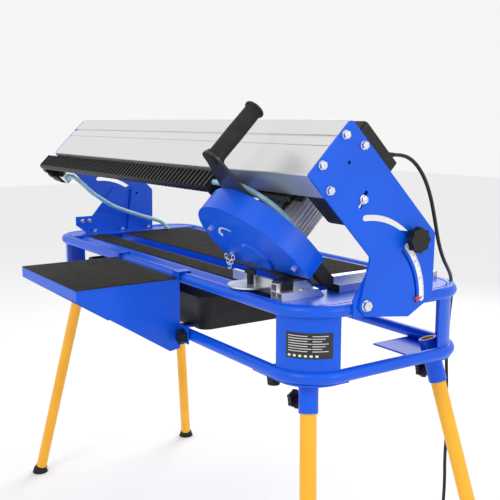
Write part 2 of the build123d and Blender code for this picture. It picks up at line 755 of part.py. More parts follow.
# ---- carriage, its rollers and the chain that brings hose and wires to it ----------------------------
carriage_x = 422.0        # middle of the carriage, above the blade's arbor
carriage_half = 92.0
roller_r = 15.0
roller_wide = 14.0
axle_r = 5.0
roller_z = rail_bottom + ledge + roller_r + 0.3
front_roller = slot_front - 1.5
rear_roller = slot_rear + 1.5
stem_front = slot_front + 4
stem_rear = slot_rear - 4
roller_places = [carriage_x - 62, carriage_x + 62]
carriage_low = 197.5
carriage_top = 205.5
hinge_x = 326.0           # plunge hinge of the head
hinge_z = 178.0
hinge_r = 6.0
hinge_front = 92.0
hinge_rear = 176.0
with BuildPart() as carriage_plate:
    with BuildSketch(bridge.offset(carriage_low)):
        with Locations((carriage_x - 8, 134)):
            RectangleRounded(2 * carriage_half + 16, 136, 6)
    extrude(amount=carriage_top - carriage_low)
    with BuildSketch(bridge.offset(carriage_top)):
        with Locations((carriage_x, (stem_front + stem_rear) / 2)):
            Rectangle(150, stem_rear - stem_front)
    extrude(amount=roller_z + 12 - carriage_top)
    for x in roller_places:
        with BuildSketch(facing(rear_roller + roller_wide, x, roller_z)):
            Circle(axle_r)
        extrude(amount=rear_roller - front_roller + 2 * roller_wide)
    with BuildSketch(facing(hinge_rear - 12, hinge_x, hinge_z)):
        Circle(13)
        with Locations((0, (carriage_low - hinge_z) / 2)):
            Rectangle(26, carriage_low - hinge_z)
        Circle(hinge_r + fit, mode=Mode.SUBTRACT)
    extrude(amount=hinge_rear - hinge_front - 24)


def rollers(y):
    """A pair of rollers on the carriage's axles, at a depth inside the rail."""
    with BuildPart() as pair:
        for x in roller_places:
            with BuildSketch(facing(y + roller_wide, x, roller_z)):
                Circle(roller_r)
                Circle(axle_r + fit, mode=Mode.SUBTRACT)
            extrude(amount=roller_wide)
    return pair.part


pieces["carriage_rollers"] = together(rollers(front_roller - roller_wide), rollers(rear_roller))

chain_front = 34.0
chain_rear = 74.0
chain_high = 22.0
chain_top = 260.0
loop_r = 38.0
loop_x = -634.0
chain_moving = 322.0
chain_fixed = -590.0
with BuildPart() as cable_chain:
    with BuildSketch(facing(chain_rear)):
        with BuildLine():
            top = chain_top
            inner = top - chain_high
            low = top - 2 * loop_r
            Line((chain_moving, top), (loop_x, top))
            CenterArc((loop_x, top - loop_r), loop_r, 90, 180)
            Line((loop_x, low), (chain_fixed, low))
            Line((chain_fixed, low), (chain_fixed, low + chain_high))
            Line((chain_fixed, low + chain_high), (loop_x, low + chain_high))
            CenterArc((loop_x, top - loop_r), loop_r - chain_high, 270, -180)
            Line((loop_x, inner), (chain_moving, inner))
            Line((chain_moving, inner), (chain_moving, top))
        make_face()
    extrude(amount=chain_rear - chain_front)
pieces["cable_chain"] = cable_chain.part

chain_low = chain_top - 2 * loop_r
anchor_sheet = 3.0
anchor_long = 46.0
clamp_x = -577.0          # middle of the block that clamps the feed hose
clamp_long = 25.0
with BuildPart() as chain_anchor:
    with BuildSketch(facing(110)):
        with Locations((far_face - anchor_long / 2, chain_low - anchor_sheet / 2)):
            Rectangle(anchor_long, anchor_sheet)
    extrude(amount=110 - chain_front)
    with BuildSketch(facing(chain_rear - 4)):
        with Locations((far_face, chain_low - anchor_sheet / 2)):
            Rectangle(anchor_long / 2, anchor_sheet)
    extrude(amount=chain_rear - 4 - chain_front)
    with BuildSketch(across(far_face)):
        with Locations((97, chain_low - anchor_sheet - 15)):
            Rectangle(26, 30)
    extrude(amount=-anchor_sheet)
    with BuildSketch(facing(chain_rear - 4)):
        with Locations((clamp_x, chain_low + 11)):
            Rectangle(clamp_long, chain_high)
    extrude(amount=chain_rear - chain_front - 8)
pieces["chain_anchor"] = chain_anchor.part

with BuildPart() as chain_end_bracket:
    with BuildSketch(facing(chain_rear - 1)):
        with BuildLine():
            Polyline(
                (chain_moving - 12, carriage_top), (chain_moving + 40, carriage_top),
                (chain_moving + 40, carriage_top + 3), (chain_moving - 8, carriage_top + 3),
                (chain_moving - 8, chain_top - chain_high), (chain_moving - 12, chain_top - chain_high),
                close=True,
            )
        make_face()
    extrude(amount=chain_rear - 1 - chain_front)
pieces["carriage_plate"] = together(carriage_plate.part, chain_end_bracket.part)

# ---- head: blade guard, motor and handle ----------------------------------------------------------------
arbor_z = 129.0
guard_r = 140.0
guard_low = 85.0
guard_front = -20.0
guard_split = 6.0
guard_rear_y = 28.0
guard_sheet = 2.5
blade_r = 125.0
blade_thick = 2.4
shaft_r = 8.0


def guard_outline(shrink):
    """The guard's side view: a disc cut level below, with its left corner rounded."""
    with Locations((carriage_x, arbor_z)):
        Circle(guard_r - shrink)
    with Locations((carriage_x, guard_low + shrink - guard_r)):
        Rectangle(3 * guard_r, 2 * guard_r, mode=Mode.SUBTRACT)


guard_bolts_at = [(carriage_x - 96, 190), (carriage_x - 106, 108), (carriage_x + 106, 108)]
boss_at = (carriage_x, 122.0)
with BuildPart() as guard_cover:
    with BuildSketch(facing(guard_split)):
        guard_outline(0)
        fillet(vertices().sort_by(Axis.X)[0], 26)
    extrude(amount=guard_split - guard_front)
    with BuildSketch(facing(guard_split)):
        guard_outline(guard_sheet)
        fillet(vertices().sort_by(Axis.X)[0], 24)
    extrude(amount=guard_split - guard_front - guard_sheet, mode=Mode.SUBTRACT)
    with BuildSketch(facing(guard_front)):
        with Locations(boss_at):
            Circle(40)
        with Locations((carriage_x, guard_low - guard_r)):
            Rectangle(3 * guard_r, 2 * guard_r, mode=Mode.SUBTRACT)
    extrude(amount=5, taper=30)
    with BuildSketch(facing(guard_split)):
        with Locations((carriage_x, guard_low)):
            Rectangle(1.7 * guard_r, 4 * guard_sheet, mode=Mode.ADD)
    extrude(amount=guard_split - guard_front - guard_sheet, mode=Mode.SUBTRACT)
    with BuildSketch(facing(guard_front)):
        with Locations(*guard_bolts_at):
            Circle(3 + fit)
    extrude(amount=-guard_sheet, mode=Mode.SUBTRACT)
pieces["guard_cover"] = guard_cover.part

with BuildPart() as guard_back:
    with BuildSketch(facing(guard_rear_y)):
        guard_outline(0)
        fillet(vertices().sort_by(Axis.X)[0], 26)
    extrude(amount=guard_rear_y - guard_split)
    with BuildSketch(facing(guard_rear_y - guard_sheet)):
        guard_outline(guard_sheet)
        fillet(vertices().sort_by(Axis.X)[0], 24)
    extrude(amount=guard_rear_y - guard_split - guard_sheet, mode=Mode.SUBTRACT)
    with BuildSketch(facing(guard_rear_y - guard_sheet)):
        with Locations((carriage_x, guard_low)):
            Rectangle(1.7 * guard_r, 4 * guard_sheet)
    extrude(amount=guard_rear_y - guard_split - guard_sheet, mode=Mode.SUBTRACT)
    with BuildSketch(facing(guard_rear_y)):
        with Locations((carriage_x, arbor_z)):
            Circle(24)
    extrude(amount=guard_sheet, mode=Mode.SUBTRACT)
pieces["guard_back"] = guard_back.part

pieces["guard_bolts"] = hex_bolts([facing(guard_front, x, z) for x, z in guard_bolts_at], 10, 4, 3, 12)

with BuildPart() as splash_flap:
    with BuildSketch(facing(20)):
        with BuildLine():
            Polyline(
                (carriage_x + 121, guard_low - 0.4), (carriage_x + 132, guard_low - 0.4),
                (carriage_x + 127, guard_low - 46), (carriage_x + 113, guard_low - 46), close=True,
            )
        make_face()
    extrude(amount=25)
pieces["splash_flap"] = splash_flap.part

motor_front = guard_rear_y
motor_bell = 14.0
motor_end = 212.0
motor_r = 57.0
fin = 4.0
motor_wall = 4.0
bearing_r = 16.0
bearing_wide = 12.0
with BuildPart() as motor_front_bell:
    with BuildSketch(facing(motor_front + motor_bell, carriage_x, arbor_z)):
        Circle(motor_r + 1)
    extrude(amount=motor_bell)
    with BuildSketch(facing(motor_front + motor_bell, carriage_x, arbor_z)):
        Circle(bearing_r + fit)
    extrude(amount=bearing_wide, mode=Mode.SUBTRACT)
    with BuildSketch(facing(motor_front + motor_bell, carriage_x, arbor_z)):
        Circle(shaft_r + 2)
    extrude(amount=motor_bell, mode=Mode.SUBTRACT)

housing_front = motor_front + motor_bell
housing_rear = motor_end - motor_bell
with BuildPart() as motor_housing:
    with BuildSketch(facing(housing_rear, carriage_x, arbor_z)):
        Circle(motor_r)
        with PolarLocations(motor_r, 40):
            Rectangle(2 * fin, 2.6)
        Circle(motor_r - motor_wall, mode=Mode.SUBTRACT)
    extrude(amount=housing_rear - housing_front)
    with BuildSketch(facing(hinge_rear, hinge_x, hinge_z)):
        Circle(12)
        with Locations((24, -8)):
            Rectangle(48, 20, rotation=-18)
        Circle(hinge_r + fit, mode=Mode.SUBTRACT)
    extrude(amount=12 - gap)
    with BuildSketch(facing(hinge_front + 12 - gap, hinge_x, hinge_z)):
        Circle(12)
        with Locations((24, -8)):
            Rectangle(48, 20, rotation=-18)
        Circle(hinge_r + fit, mode=Mode.SUBTRACT)
    extrude(amount=12 - gap)
    with BuildSketch(facing(housing_rear, carriage_x, arbor_z)):
        Circle(motor_r - motor_wall)
    extrude(amount=housing_rear - housing_front, mode=Mode.SUBTRACT)
pieces["motor_housing"] = motor_housing.part

with BuildPart() as hinge_pin:
    with BuildSketch(facing(hinge_rear + 2, hinge_x, hinge_z)):
        Circle(hinge_r)
    extrude(amount=hinge_rear - hinge_front + 4)
pieces["hinge_pin"] = hinge_pin.part

with BuildPart() as motor_rear_bell:
    with BuildSketch(facing(motor_end, carriage_x, arbor_z)):
        Circle(motor_r + 1)
    extrude(amount=motor_bell)
    with BuildSketch(facing(housing_rear + bearing_wide, carriage_x, arbor_z)):
        Circle(bearing_r + fit)
    extrude(amount=bearing_wide, mode=Mode.SUBTRACT)
pieces["motor_bells"] = together(motor_front_bell.part, motor_rear_bell.part)

with BuildPart() as motor_bearings:
    for rear in (housing_front, housing_rear + bearing_wide):
        with BuildSketch(facing(rear, carriage_x, arbor_z)):
            Circle(bearing_r)
            Circle(shaft_r + fit, mode=Mode.SUBTRACT)
        extrude(amount=bearing_wide)
pieces["motor_bearings"] = motor_bearings.part

stator_wide = 80.0
air_gap = 0.8
rotor_r = 30.0
stator_rear = (housing_front + housing_rear + stator_wide) / 2
with BuildPart() as stator:
    with BuildSketch(facing(stator_rear, carriage_x, arbor_z)):
        Circle(motor_r - motor_wall - fit)
        Circle(rotor_r + air_gap, mode=Mode.SUBTRACT)
    extrude(amount=stator_wide)
pieces["stator"] = stator.part

blade_bore = shaft_r
flange_r = 26.0
flange_thick = 5.0
with BuildPart() as rotor_shaft:
    with BuildSketch(facing(housing_rear + bearing_wide - 1, carriage_x, arbor_z)):
        Circle(shaft_r)
    extrude(amount=housing_rear + bearing_wide - 1 + flange_thick + blade_thick / 2 + 6)
    with BuildSketch(facing(stator_rear, carriage_x, arbor_z)):
        Circle(rotor_r)
    extrude(amount=stator_wide)
pieces["rotor_shaft"] = rotor_shaft.part

with BuildPart() as saw_blade:
    with BuildSketch(facing(blade_thick / 2, carriage_x, arbor_z)):
        Circle(blade_r)
        Circle(blade_bore + fit, mode=Mode.SUBTRACT)
    extrude(amount=blade_thick)
pieces["saw_blade"] = saw_blade.part

with BuildPart() as blade_flanges:
    for rear in (blade_thick / 2 + flange_thick, -blade_thick / 2):
        with BuildSketch(facing(rear, carriage_x, arbor_z)):
            Circle(flange_r)
            Circle(blade_bore + fit, mode=Mode.SUBTRACT)
        extrude(amount=flange_thick)

with BuildPart() as arbor_nut:
    with BuildSketch(facing(-blade_thick / 2 - flange_thick, carriage_x, arbor_z)):
        RegularPolygon(12, 6, major_radius=False)
        Circle(blade_bore + fit, mode=Mode.SUBTRACT)
    extrude(amount=7)
pieces["blade_fixings"] = together(blade_flanges.part, arbor_nut.part)

handle_front = guard_rear_y
handle_sheet = 5.0
grip_at = (460.0, 347.0)
grip_r = 17.0
grip_long = 125.0
rod_r = 6.0
with BuildPart() as handle_plate:
    with BuildSketch(facing(handle_front + handle_sheet)):
        with BuildLine():
            Polyline(
                (396, 214), (478, 214), (478, 250), (grip_at[0] + 23, grip_at[1]),
                (grip_at[0] - 22, grip_at[1]), (396, 256), close=True,
            )
        make_face()
        with Locations(grip_at):
            Circle(22.5)
            Circle(rod_r + fit, mode=Mode.SUBTRACT)
    extrude(amount=handle_sheet)

grip_front = handle_front + handle_sheet
with BuildPart() as grip_rod:
    with BuildSketch(facing(grip_front + grip_long, *grip_at)):
        Circle(rod_r)
    extrude(amount=grip_long + handle_sheet)
    with BuildSketch(facing(handle_front, *grip_at)):
        Circle(11)
    extrude(amount=4)
pieces["handle_plate"] = together(handle_plate.part, grip_rod.part)

with BuildPart() as grip:
    with BuildSketch(facing(grip_front + grip_long + 3, *grip_at)):
        Circle(grip_r)
    extrude(amount=grip_long + 3)
    for rear in (grip_front + 5, grip_front + grip_long + 3):
        with BuildSketch(facing(rear, *grip_at)):
            Circle(grip_r + 3)
        extrude(amount=5)
    with BuildSketch(facing(grip_front + grip_long, *grip_at)):
        Circle(rod_r + fit)
    extrude(amount=grip_long, mode=Mode.SUBTRACT)
pieces["grip"] = grip.part

# ---- switch box and junction box ------------------------------------------------------------------------
switch_right = near_plate_x
switch_left = switch_right - 92.0
switch_front = rail_rear
switch_deep = 24.0
switch_low = 128.0
switch_top = 240.0
button_at = ((switch_left + switch_right) / 2, 200.0)
button_gap = 34.0
button_r = 10.0
with BuildPart() as switch_box:
    with BuildSketch(facing(switch_front + switch_deep)):
        with Locations(((switch_left + switch_right) / 2, (switch_low + switch_top) / 2)):
            RectangleRounded(switch_right - switch_left, switch_top - switch_low, 7)
    extrude(amount=switch_deep)
    with BuildSketch(facing(switch_front + switch_deep)):
        with Locations(*[(button_at[0] + s * button_gap / 2, button_at[1]) for s in (-1, 1)]):
            Circle(button_r + 0.3)
    extrude(amount=12, mode=Mode.SUBTRACT)
pieces["switch_box"] = switch_box.part


def push_button(side):
    """A round push button in the switch box, on one side of its middle."""
    with BuildPart() as button:
        rear = switch_front + switch_deep + 5
        with BuildSketch(facing(rear, button_at[0] + side * button_gap / 2, button_at[1])):
            Circle(button_r)
        extrude(amount=12)
    return button.part


pieces["start_button"] = push_button(-1)
pieces["stop_button"] = push_button(1)

gland_r = 7.5
gland_at = (button_at[0] + 16, 146.0)
gland_long = 26.0
cable_r = 3.75
nut_high = 5.0
nut_top = bridge.from_local_coords((gland_at[0], switch_front + switch_deep + nut_high, gland_at[1]))
with BuildPart() as cable_gland:
    with BuildSketch(facing(switch_front + switch_deep, *gland_at)):
        RegularPolygon(gland_r + 2.5, 6)
    extrude(amount=-nut_high)
    with BuildSketch(Plane(origin=nut_top, z_dir=(0, 1, 0))):
        Circle(gland_r - 0.6)
    extrude(amount=gland_long, taper=6)
pieces["cable_gland"] = cable_gland.part

junction_wide = 50.0
junction_high = 76.0
junction_x = near_bracket_x - 7 - junction_wide / 2
with BuildPart() as junction_box:
    with BuildSketch(facing(slot_rear)):
        with Locations((junction_x, rail_bottom - junction_high / 2)):
            RectangleRounded(junction_wide, junction_high, 6)
    extrude(amount=slot_rear - rail_front - 4)
pieces["junction_box"] = junction_box.part

# ---- hoses ---------------------------------------------------------------------------------------
hose_r = 6.0


def rounded_route(points):
    """Radii that round a route as widely as its runs allow, one for each inner point."""
    radii = []
    for before, at, after in zip(points, points[1:], points[2:]):
        run_in = Vector(*at) - Vector(*before)
        run_out = Vector(*after) - Vector(*at)
        turn = radians(run_in.get_angle(run_out))
        radii.append(0.45 * min(run_in.length, run_out.length) / tan(turn / 2))
    return radii


def tube(points, radius):
    """A tube of straight runs and tangent arcs along the points."""
    radii = rounded_route(points)
    with BuildPart() as hose:
        with BuildLine() as path:
            FilletPolyline(*points, radius=radii)
        start = Vector(*points[1]) - Vector(*points[0])
        with BuildSketch(Plane(origin=points[0], z_dir=start)):
            Circle(radius)
        sweep(path=path.line)
    length = path.wire().length
    share = hose.part.volume / (pi * radius**2 * length)
    print("route", round(length), "radii", [round(r) for r in radii], "volume", round(share, 4))
    return hose.part


head_hose_tilted = [
    (chain_moving, 54, 249), (356, 54, 249), (396, 54, 252), (436, 52, 244), (470, 50, 226),
    (495, 48, 199), (505, 46, 168), (504, 45, 138),
]
head_hose_route = [tuple(bridge.from_local_coords(p)) for p in head_hose_tilted]
pieces["head_hose"] = tube(head_hose_route, hose_r)

hose_from = clamp_x + clamp_long / 2
hose_z = chain_low + chain_high / 2
feed_hose_tilted = [
    (hose_from, 54, hose_z), (-540, 54, hose_z), (-519, 54, 180.5), (-508.5, 53, 156), (-504.5, 52.5, 128),
]
feed_hose_route = [tuple(bridge.from_local_coords(p)) for p in feed_hose_tilted]
feed_hose_route += [
    (-505, -14, 881), (-507, 20, 861), (-508, 64, 844), (-504, 108, 828), (-500, 150, 813), (-490, 186, 801),
]
pieces["feed_hose"] = tube(feed_hose_route, hose_r)

# ---- mains cable, its coil on the floor and the plug ---------------------------------------------
cable_exit = (nut_top.X, nut_top.Y + gland_long, nut_top.Z)
coil_x = 330.0
coil_y = 316.0
coil_r = 41.0
coil_layers = 3
coil_half = 8.0           # half the ring's width, two turns side by side
coil_out = coil_r + coil_half
coil_high = 2 * coil_layers * cable_r
coil_in_y = coil_y + coil_out - cable_r     # the cable runs onto the lowest turn along this line
coil_end_y = coil_y + coil_r                # and leaves the top turn along this one
coil_lead = 375.0
coil_top = coil_high - cable_r
plug_out = 52.0           # from the coil's middle to the plug's strain relief
plug_r_outer = 18.5
cable_route = [
    cable_exit, (nut_top.X, 117, nut_top.Z), (595, 146, 1040), (599, 170, 1011), (602, 187, 972),
    (604, 199, 926), (603, 212, 880), (595, 236, 842), (577, 272, 815), (553, 310, 790), (534, 336, 750), (524, 342, 700),
    (519, 343, 644), (517, 346, 588), (518, 350, 530), (516, 352, 472), (518, 355, 414), (515, 356, 356),
    (517, 357, 298), (514, 358, 240), (516, 358, 182), (513, 357, 126), (508, 356, 74), (493, 353, 32),
    (468, 354, 9), (436, 359, cable_r), (406, coil_in_y, cable_r), (coil_lead, coil_in_y, cable_r),
]
pieces["mains_cable"] = tube(cable_route, cable_r)
with BuildPart() as cable_coil:
    with BuildSketch():
        with Locations((coil_x, coil_y)):
            Circle(coil_out)
            Circle(coil_r - coil_half, mode=Mode.SUBTRACT)
    extrude(amount=coil_high)
    with BuildSketch(Plane(origin=(coil_x, coil_in_y, cable_r), z_dir=(1, 0, 0))):
        Circle(cable_r)
    extrude(amount=coil_lead - coil_x)
    with BuildSketch(Plane(origin=(coil_x, coil_end_y, coil_top), z_dir=(-1, 0, 0))):
        Circle(cable_r)
    extrude(amount=plug_out)
pieces["cable_coil"] = cable_coil.part

plug_from = coil_x - plug_out
plug_plane = Plane(origin=(plug_from, coil_end_y, coil_top), z_dir=(-1, 0, 0))
with BuildPart() as mains_plug:
    with BuildSketch(plug_plane):
        Circle(5)
    extrude(amount=24, taper=-8)
    with BuildSketch(plug_plane.offset(24)):
        Circle(plug_r_outer)
    extrude(amount=18)
    with BuildSketch(plug_plane.offset(42)):
        with Locations((0, 9.5), (0, -9.5)):
            Circle(2.4)
    extrude(amount=19)
pieces["mains_plug"] = mains_plug.part

# ---- files ---------------------------------------------------------------------------------------
for name, piece in pieces.items():
    piece.label = name
    export_step(piece, f"parts/{name}.step")
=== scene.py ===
# %% [markdown]
# # A wet tile saw on its stand
# The CAD model already holds every plate, tube and bolt at its right size. This script keeps those
# pieces, gives each one the finish it has on a real saw, and builds the pieces that CAD only holds
# room for: the hoses, the mains lead, the link chain, the rubber mats, the handle's grip and the
# splash flap. It also adds the small trim that the CAD model leaves out.

# %% Load the frame
import json
from math import atan2, cos, pi, radians, sin

import bpy
from mathutils import Matrix, Vector


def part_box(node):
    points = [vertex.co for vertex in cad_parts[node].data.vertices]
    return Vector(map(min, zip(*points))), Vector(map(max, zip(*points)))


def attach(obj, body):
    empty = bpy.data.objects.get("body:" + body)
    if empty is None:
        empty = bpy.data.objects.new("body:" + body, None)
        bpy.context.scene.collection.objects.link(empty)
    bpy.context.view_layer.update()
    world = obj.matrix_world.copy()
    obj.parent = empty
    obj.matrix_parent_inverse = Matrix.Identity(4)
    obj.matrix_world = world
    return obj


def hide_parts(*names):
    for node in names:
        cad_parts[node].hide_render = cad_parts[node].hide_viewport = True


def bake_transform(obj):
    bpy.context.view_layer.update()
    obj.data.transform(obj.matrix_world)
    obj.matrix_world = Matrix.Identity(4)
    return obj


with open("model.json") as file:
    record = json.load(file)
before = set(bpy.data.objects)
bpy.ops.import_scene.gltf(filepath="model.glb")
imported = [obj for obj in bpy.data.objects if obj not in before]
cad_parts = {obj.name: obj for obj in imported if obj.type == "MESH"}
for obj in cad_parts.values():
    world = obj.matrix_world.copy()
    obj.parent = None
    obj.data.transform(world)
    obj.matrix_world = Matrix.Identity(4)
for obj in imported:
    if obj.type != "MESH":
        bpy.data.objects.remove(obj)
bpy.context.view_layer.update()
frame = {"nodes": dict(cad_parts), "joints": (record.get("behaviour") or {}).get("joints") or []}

nodes = frame["nodes"]
joints = {joint["name"]: joint for joint in frame["joints"]}

# %% [markdown]
# ## Working in the tilted bridge
# The whole bridge leans 45 degrees, so its pieces are easiest to build as if it stood upright. One
# matrix then lays each finished mesh into the lean. The pivot height comes from the bevel joint.

# %% The bridge's own axes
pivot_z = joints["bevel_tilt"]["pos_m"][2]
lean = radians(45)
BRIDGE = Matrix.Translation((0, 0, pivot_z)) @ Matrix.Rotation(lean, 4, "X")
mm = 0.001


def on_bridge(x, depth, height):
    """A point given in millimetres along the leaning bridge, as a point in the room in metres."""
    return BRIDGE @ Vector((x * mm, depth * mm, height * mm))


print("pivot height", round(pivot_z, 3))

# %% [markdown]
# ## Camera
# The view is from the switch end, a little above the table, with a moderately long lens. It is
# aimed by turning the camera about the vertical first, and then tipping it down.

# %% Camera
camera_data = bpy.data.cameras.new("camera")
camera_data.sensor_width = 36.0
camera_data.lens = 57.6
camera_data.clip_end = 60.0
camera = bpy.data.objects.new("camera", camera_data)
bpy.context.scene.collection.objects.link(camera)
camera.location = (1.7012, -0.9794, 1.1161)
heading = radians(56.04)
dip = radians(9.17)
forward = Vector((-sin(heading) * cos(dip), cos(heading) * cos(dip), -sin(dip)))
camera.rotation_mode = "QUATERNION"
camera.rotation_quaternion = forward.to_track_quat("-Z", "Y")
bpy.context.scene.camera = camera
print("camera at", [round(v, 3) for v in camera.location], "lens", round(camera_data.lens, 1))

# %% [markdown]
# ## Soft studio light
# A white room, one large key light over the operator's shoulder and two fill lights give long, soft
# highlights on the glossy paint, with no hard shadows. The floor is a plain pale sheet.

# %% Room, lights and floor
world = bpy.data.worlds.new("studio")
bpy.context.scene.world = world
world.use_nodes = True
world.node_tree.nodes["Background"].inputs["Color"].default_value = (1.0, 1.0, 1.0, 1)
world.node_tree.nodes["Background"].inputs["Strength"].default_value = 0.92
bpy.context.scene.view_settings.view_transform = "Standard"


def area_light(name, place, target, size, power):
    """A square soft box that faces a target."""
    light = bpy.data.lights.new(name, "AREA")
    light.size = size
    light.energy = power
    lamp = bpy.data.objects.new(name, light)
    bpy.context.scene.collection.objects.link(lamp)
    lamp.location = place
    aim = Vector(target) - Vector(place)
    lamp.rotation_mode = "QUATERNION"
    lamp.rotation_quaternion = aim.to_track_quat("-Z", "Y")


middle = (0.2, 0.0, 0.85)
area_light("key", (1.2, -2.4, 3.0), middle, 1.2, 24)
area_light("side", (3.0, 0.9, 1.8), middle, 1.4, 16)
area_light("back", (-1.4, 2.2, 2.4), middle, 1.6, 34)

bpy.ops.object.select_all(action="DESELECT")
bpy.ops.mesh.primitive_plane_add(size=24, location=(0, 0, -0.0005))
floor = bpy.context.object
floor.name = "studio_floor"
floor_paint = bpy.data.materials.new("pale_floor")
floor_paint.use_nodes = True
floor_paint.node_tree.nodes["Principled BSDF"].inputs["Base Color"].default_value = (0.9, 0.9, 0.9, 1)
floor_paint.node_tree.nodes["Principled BSDF"].inputs["Roughness"].default_value = 0.7
floor.data.materials.append(floor_paint)
print("lights", len(bpy.data.lights))

# %% [markdown]
# ## How the finishes are mixed
# Each finish starts from the same few nodes: a noise that varies the colour a little, and a finer
# one that raises the surface. What changes from finish to finish is the grain's size and direction.
# The coordinates are the object's own, in metres, so that a pattern keeps its real size.

# %% A finish
def finish(name, colour, other, rough, metal=0.0, coat=0.0, grain=(60, 60, 60), fine=(900, 900, 900),
           height=0.00005, spread=0.1, shine=0.5):
    """A material of two close colours, with fine relief; grain and fine are per metre along X, Y, Z."""
    material = bpy.data.materials.new(name)
    material.use_nodes = True
    tree = material.node_tree
    shader = tree.nodes["Principled BSDF"]
    shader.inputs["Metallic"].default_value = metal
    shader.inputs["Coat Weight"].default_value = coat
    shader.inputs["Specular IOR Level"].default_value = shine
    shader.inputs["Coat Roughness"].default_value = 0.08
    place = tree.nodes.new("ShaderNodeTexCoord")

    def noise(scale, detail):
        """A noise with its own scale along each axis."""
        stretch = tree.nodes.new("ShaderNodeMapping")
        stretch.inputs["Scale"].default_value = scale
        tree.links.new(place.outputs["Object"], stretch.inputs["Vector"])
        cloud = tree.nodes.new("ShaderNodeTexNoise")
        cloud.inputs["Scale"].default_value = 1.0
        cloud.inputs["Detail"].default_value = detail
        tree.links.new(stretch.outputs["Vector"], cloud.inputs["Vector"])
        return cloud.outputs["Fac"]

    broad = noise(grain, 3.0)
    close = noise(fine, 2.0)
    tint = tree.nodes.new("ShaderNodeValToRGB")
    tint.color_ramp.elements[0].position = 0.35
    tint.color_ramp.elements[1].position = 0.65
    tint.color_ramp.elements[0].color = (*colour, 1)
    tint.color_ramp.elements[1].color = (*other, 1)
    tree.links.new(broad, tint.inputs["Fac"])
    tree.links.new(tint.outputs["Color"], shader.inputs["Base Color"])
    gloss = tree.nodes.new("ShaderNodeMapRange")
    gloss.inputs["To Min"].default_value = rough * (1 - spread)
    gloss.inputs["To Max"].default_value = rough * (1 + spread)
    tree.links.new(close, gloss.inputs["Value"])
    tree.links.new(gloss.outputs["Result"], shader.inputs["Roughness"])
    relief = tree.nodes.new("ShaderNodeBump")
    relief.inputs["Distance"].default_value = height
    relief.inputs["Strength"].default_value = 0.6
    tree.links.new(close, relief.inputs["Height"])
    tree.links.new(relief.outputs["Normal"], shader.inputs["Normal"])
    return material


# %% [markdown]
# ## The finishes
# Powder coat is glossy with a faint orange peel. Drawn aluminium shows lines along its length, so
# its noise is stretched along X. Moulded plastic has a fine even grain, and rubber a coarser one.

# %% All finishes
blue = finish("blue_powder_coat", (0.0, 0.088, 0.66), (0.0, 0.096, 0.72), 0.34, coat=0.08,
              grain=(9, 9, 9), fine=(520, 520, 520), height=0.00006, shine=0.28)
yellow = finish("yellow_powder_coat", (0.88, 0.40, 0.008), (0.94, 0.45, 0.012), 0.34, coat=0.15,
                grain=(9, 9, 9), fine=(520, 520, 520), height=0.00006)
rail_metal = finish("drawn_aluminium", (0.75, 0.75, 0.76), (0.78, 0.78, 0.79), 0.36, metal=0.85,
                    grain=(2, 420, 420), fine=(6, 2600, 2600), height=0.00003, spread=0.25)
fence_metal = finish("fence_aluminium", (0.74, 0.75, 0.76), (0.84, 0.85, 0.86), 0.32, metal=0.8,
                     grain=(420, 3, 420), fine=(2600, 8, 2600), height=0.00003, spread=0.25)
cast_metal = finish("cast_aluminium", (0.66, 0.65, 0.64), (0.72, 0.71, 0.70), 0.40, metal=0.6,
                    grain=(160, 160, 160), fine=(1500, 1500, 1500), height=0.00012, spread=0.2)
zinc = finish("zinc_plate", (0.70, 0.71, 0.73), (0.86, 0.87, 0.90), 0.22, metal=1.0,
              grain=(260, 260, 260), fine=(2200, 2200, 2200), height=0.00003, spread=0.3)
ground_steel = finish("ground_steel", (0.52, 0.52, 0.53), (0.58, 0.58, 0.59), 0.32, metal=1.0,
                      grain=(160, 160, 160), fine=(1800, 1800, 1800), height=0.00003, spread=0.3)
laminated = finish("laminated_iron", (0.16, 0.15, 0.15), (0.26, 0.25, 0.24), 0.5, metal=0.8,
                   grain=(40, 2600, 40), fine=(40, 3000, 40), height=0.0001)
plastic = finish("moulded_plastic", (0.007, 0.007, 0.008), (0.012, 0.012, 0.013), 0.42,
                 grain=(50, 50, 50), fine=(2400, 2400, 2400), height=0.00012, spread=0.15, shine=0.3)
black_paint = finish("black_powder_coat", (0.008, 0.008, 0.009), (0.014, 0.014, 0.015), 0.35, coat=0.2,
                     grain=(14, 14, 14), fine=(620, 620, 620), height=0.00006)
rubber = finish("black_rubber", (0.010, 0.010, 0.010), (0.017, 0.017, 0.016), 0.62,
                grain=(34, 34, 34), fine=(1500, 1500, 1500), height=0.00018, spread=0.12, shine=0.25)
mat_rubber = finish("mat_rubber", (0.016, 0.015, 0.013), (0.028, 0.026, 0.022), 0.74,
                    grain=(26, 26, 26), fine=(1100, 1100, 1100), height=0.00025, spread=0.12, shine=0.2)
lead_vinyl = finish("lead_vinyl", (0.010, 0.010, 0.010), (0.018, 0.018, 0.018), 0.36,
                    grain=(60, 60, 60), fine=(1800, 1800, 1800), height=0.00005, shine=0.3)
hose_vinyl = finish("hose_vinyl", (0.30, 0.60, 0.74), (0.44, 0.72, 0.84), 0.24, coat=0.3,
                    grain=(38, 38, 38), fine=(700, 700, 700), height=0.00005)
hose_vinyl.node_tree.nodes["Principled BSDF"].inputs["Transmission Weight"].default_value = 0.25
scale_white = finish("scale_white", (0.78, 0.78, 0.76), (0.88, 0.88, 0.86), 0.35,
                     grain=(60, 60, 60), fine=(1200, 1200, 1200), height=0.00003)
print_black = finish("printed_black", (0.010, 0.010, 0.010), (0.020, 0.020, 0.020), 0.4,
                     grain=(80, 80, 80), fine=(1400, 1400, 1400), height=0.00003)
print_white = finish("printed_white", (0.70, 0.70, 0.70), (0.82, 0.82, 0.82), 0.4,
                     grain=(80, 80, 80), fine=(1400, 1400, 1400), height=0.00003)
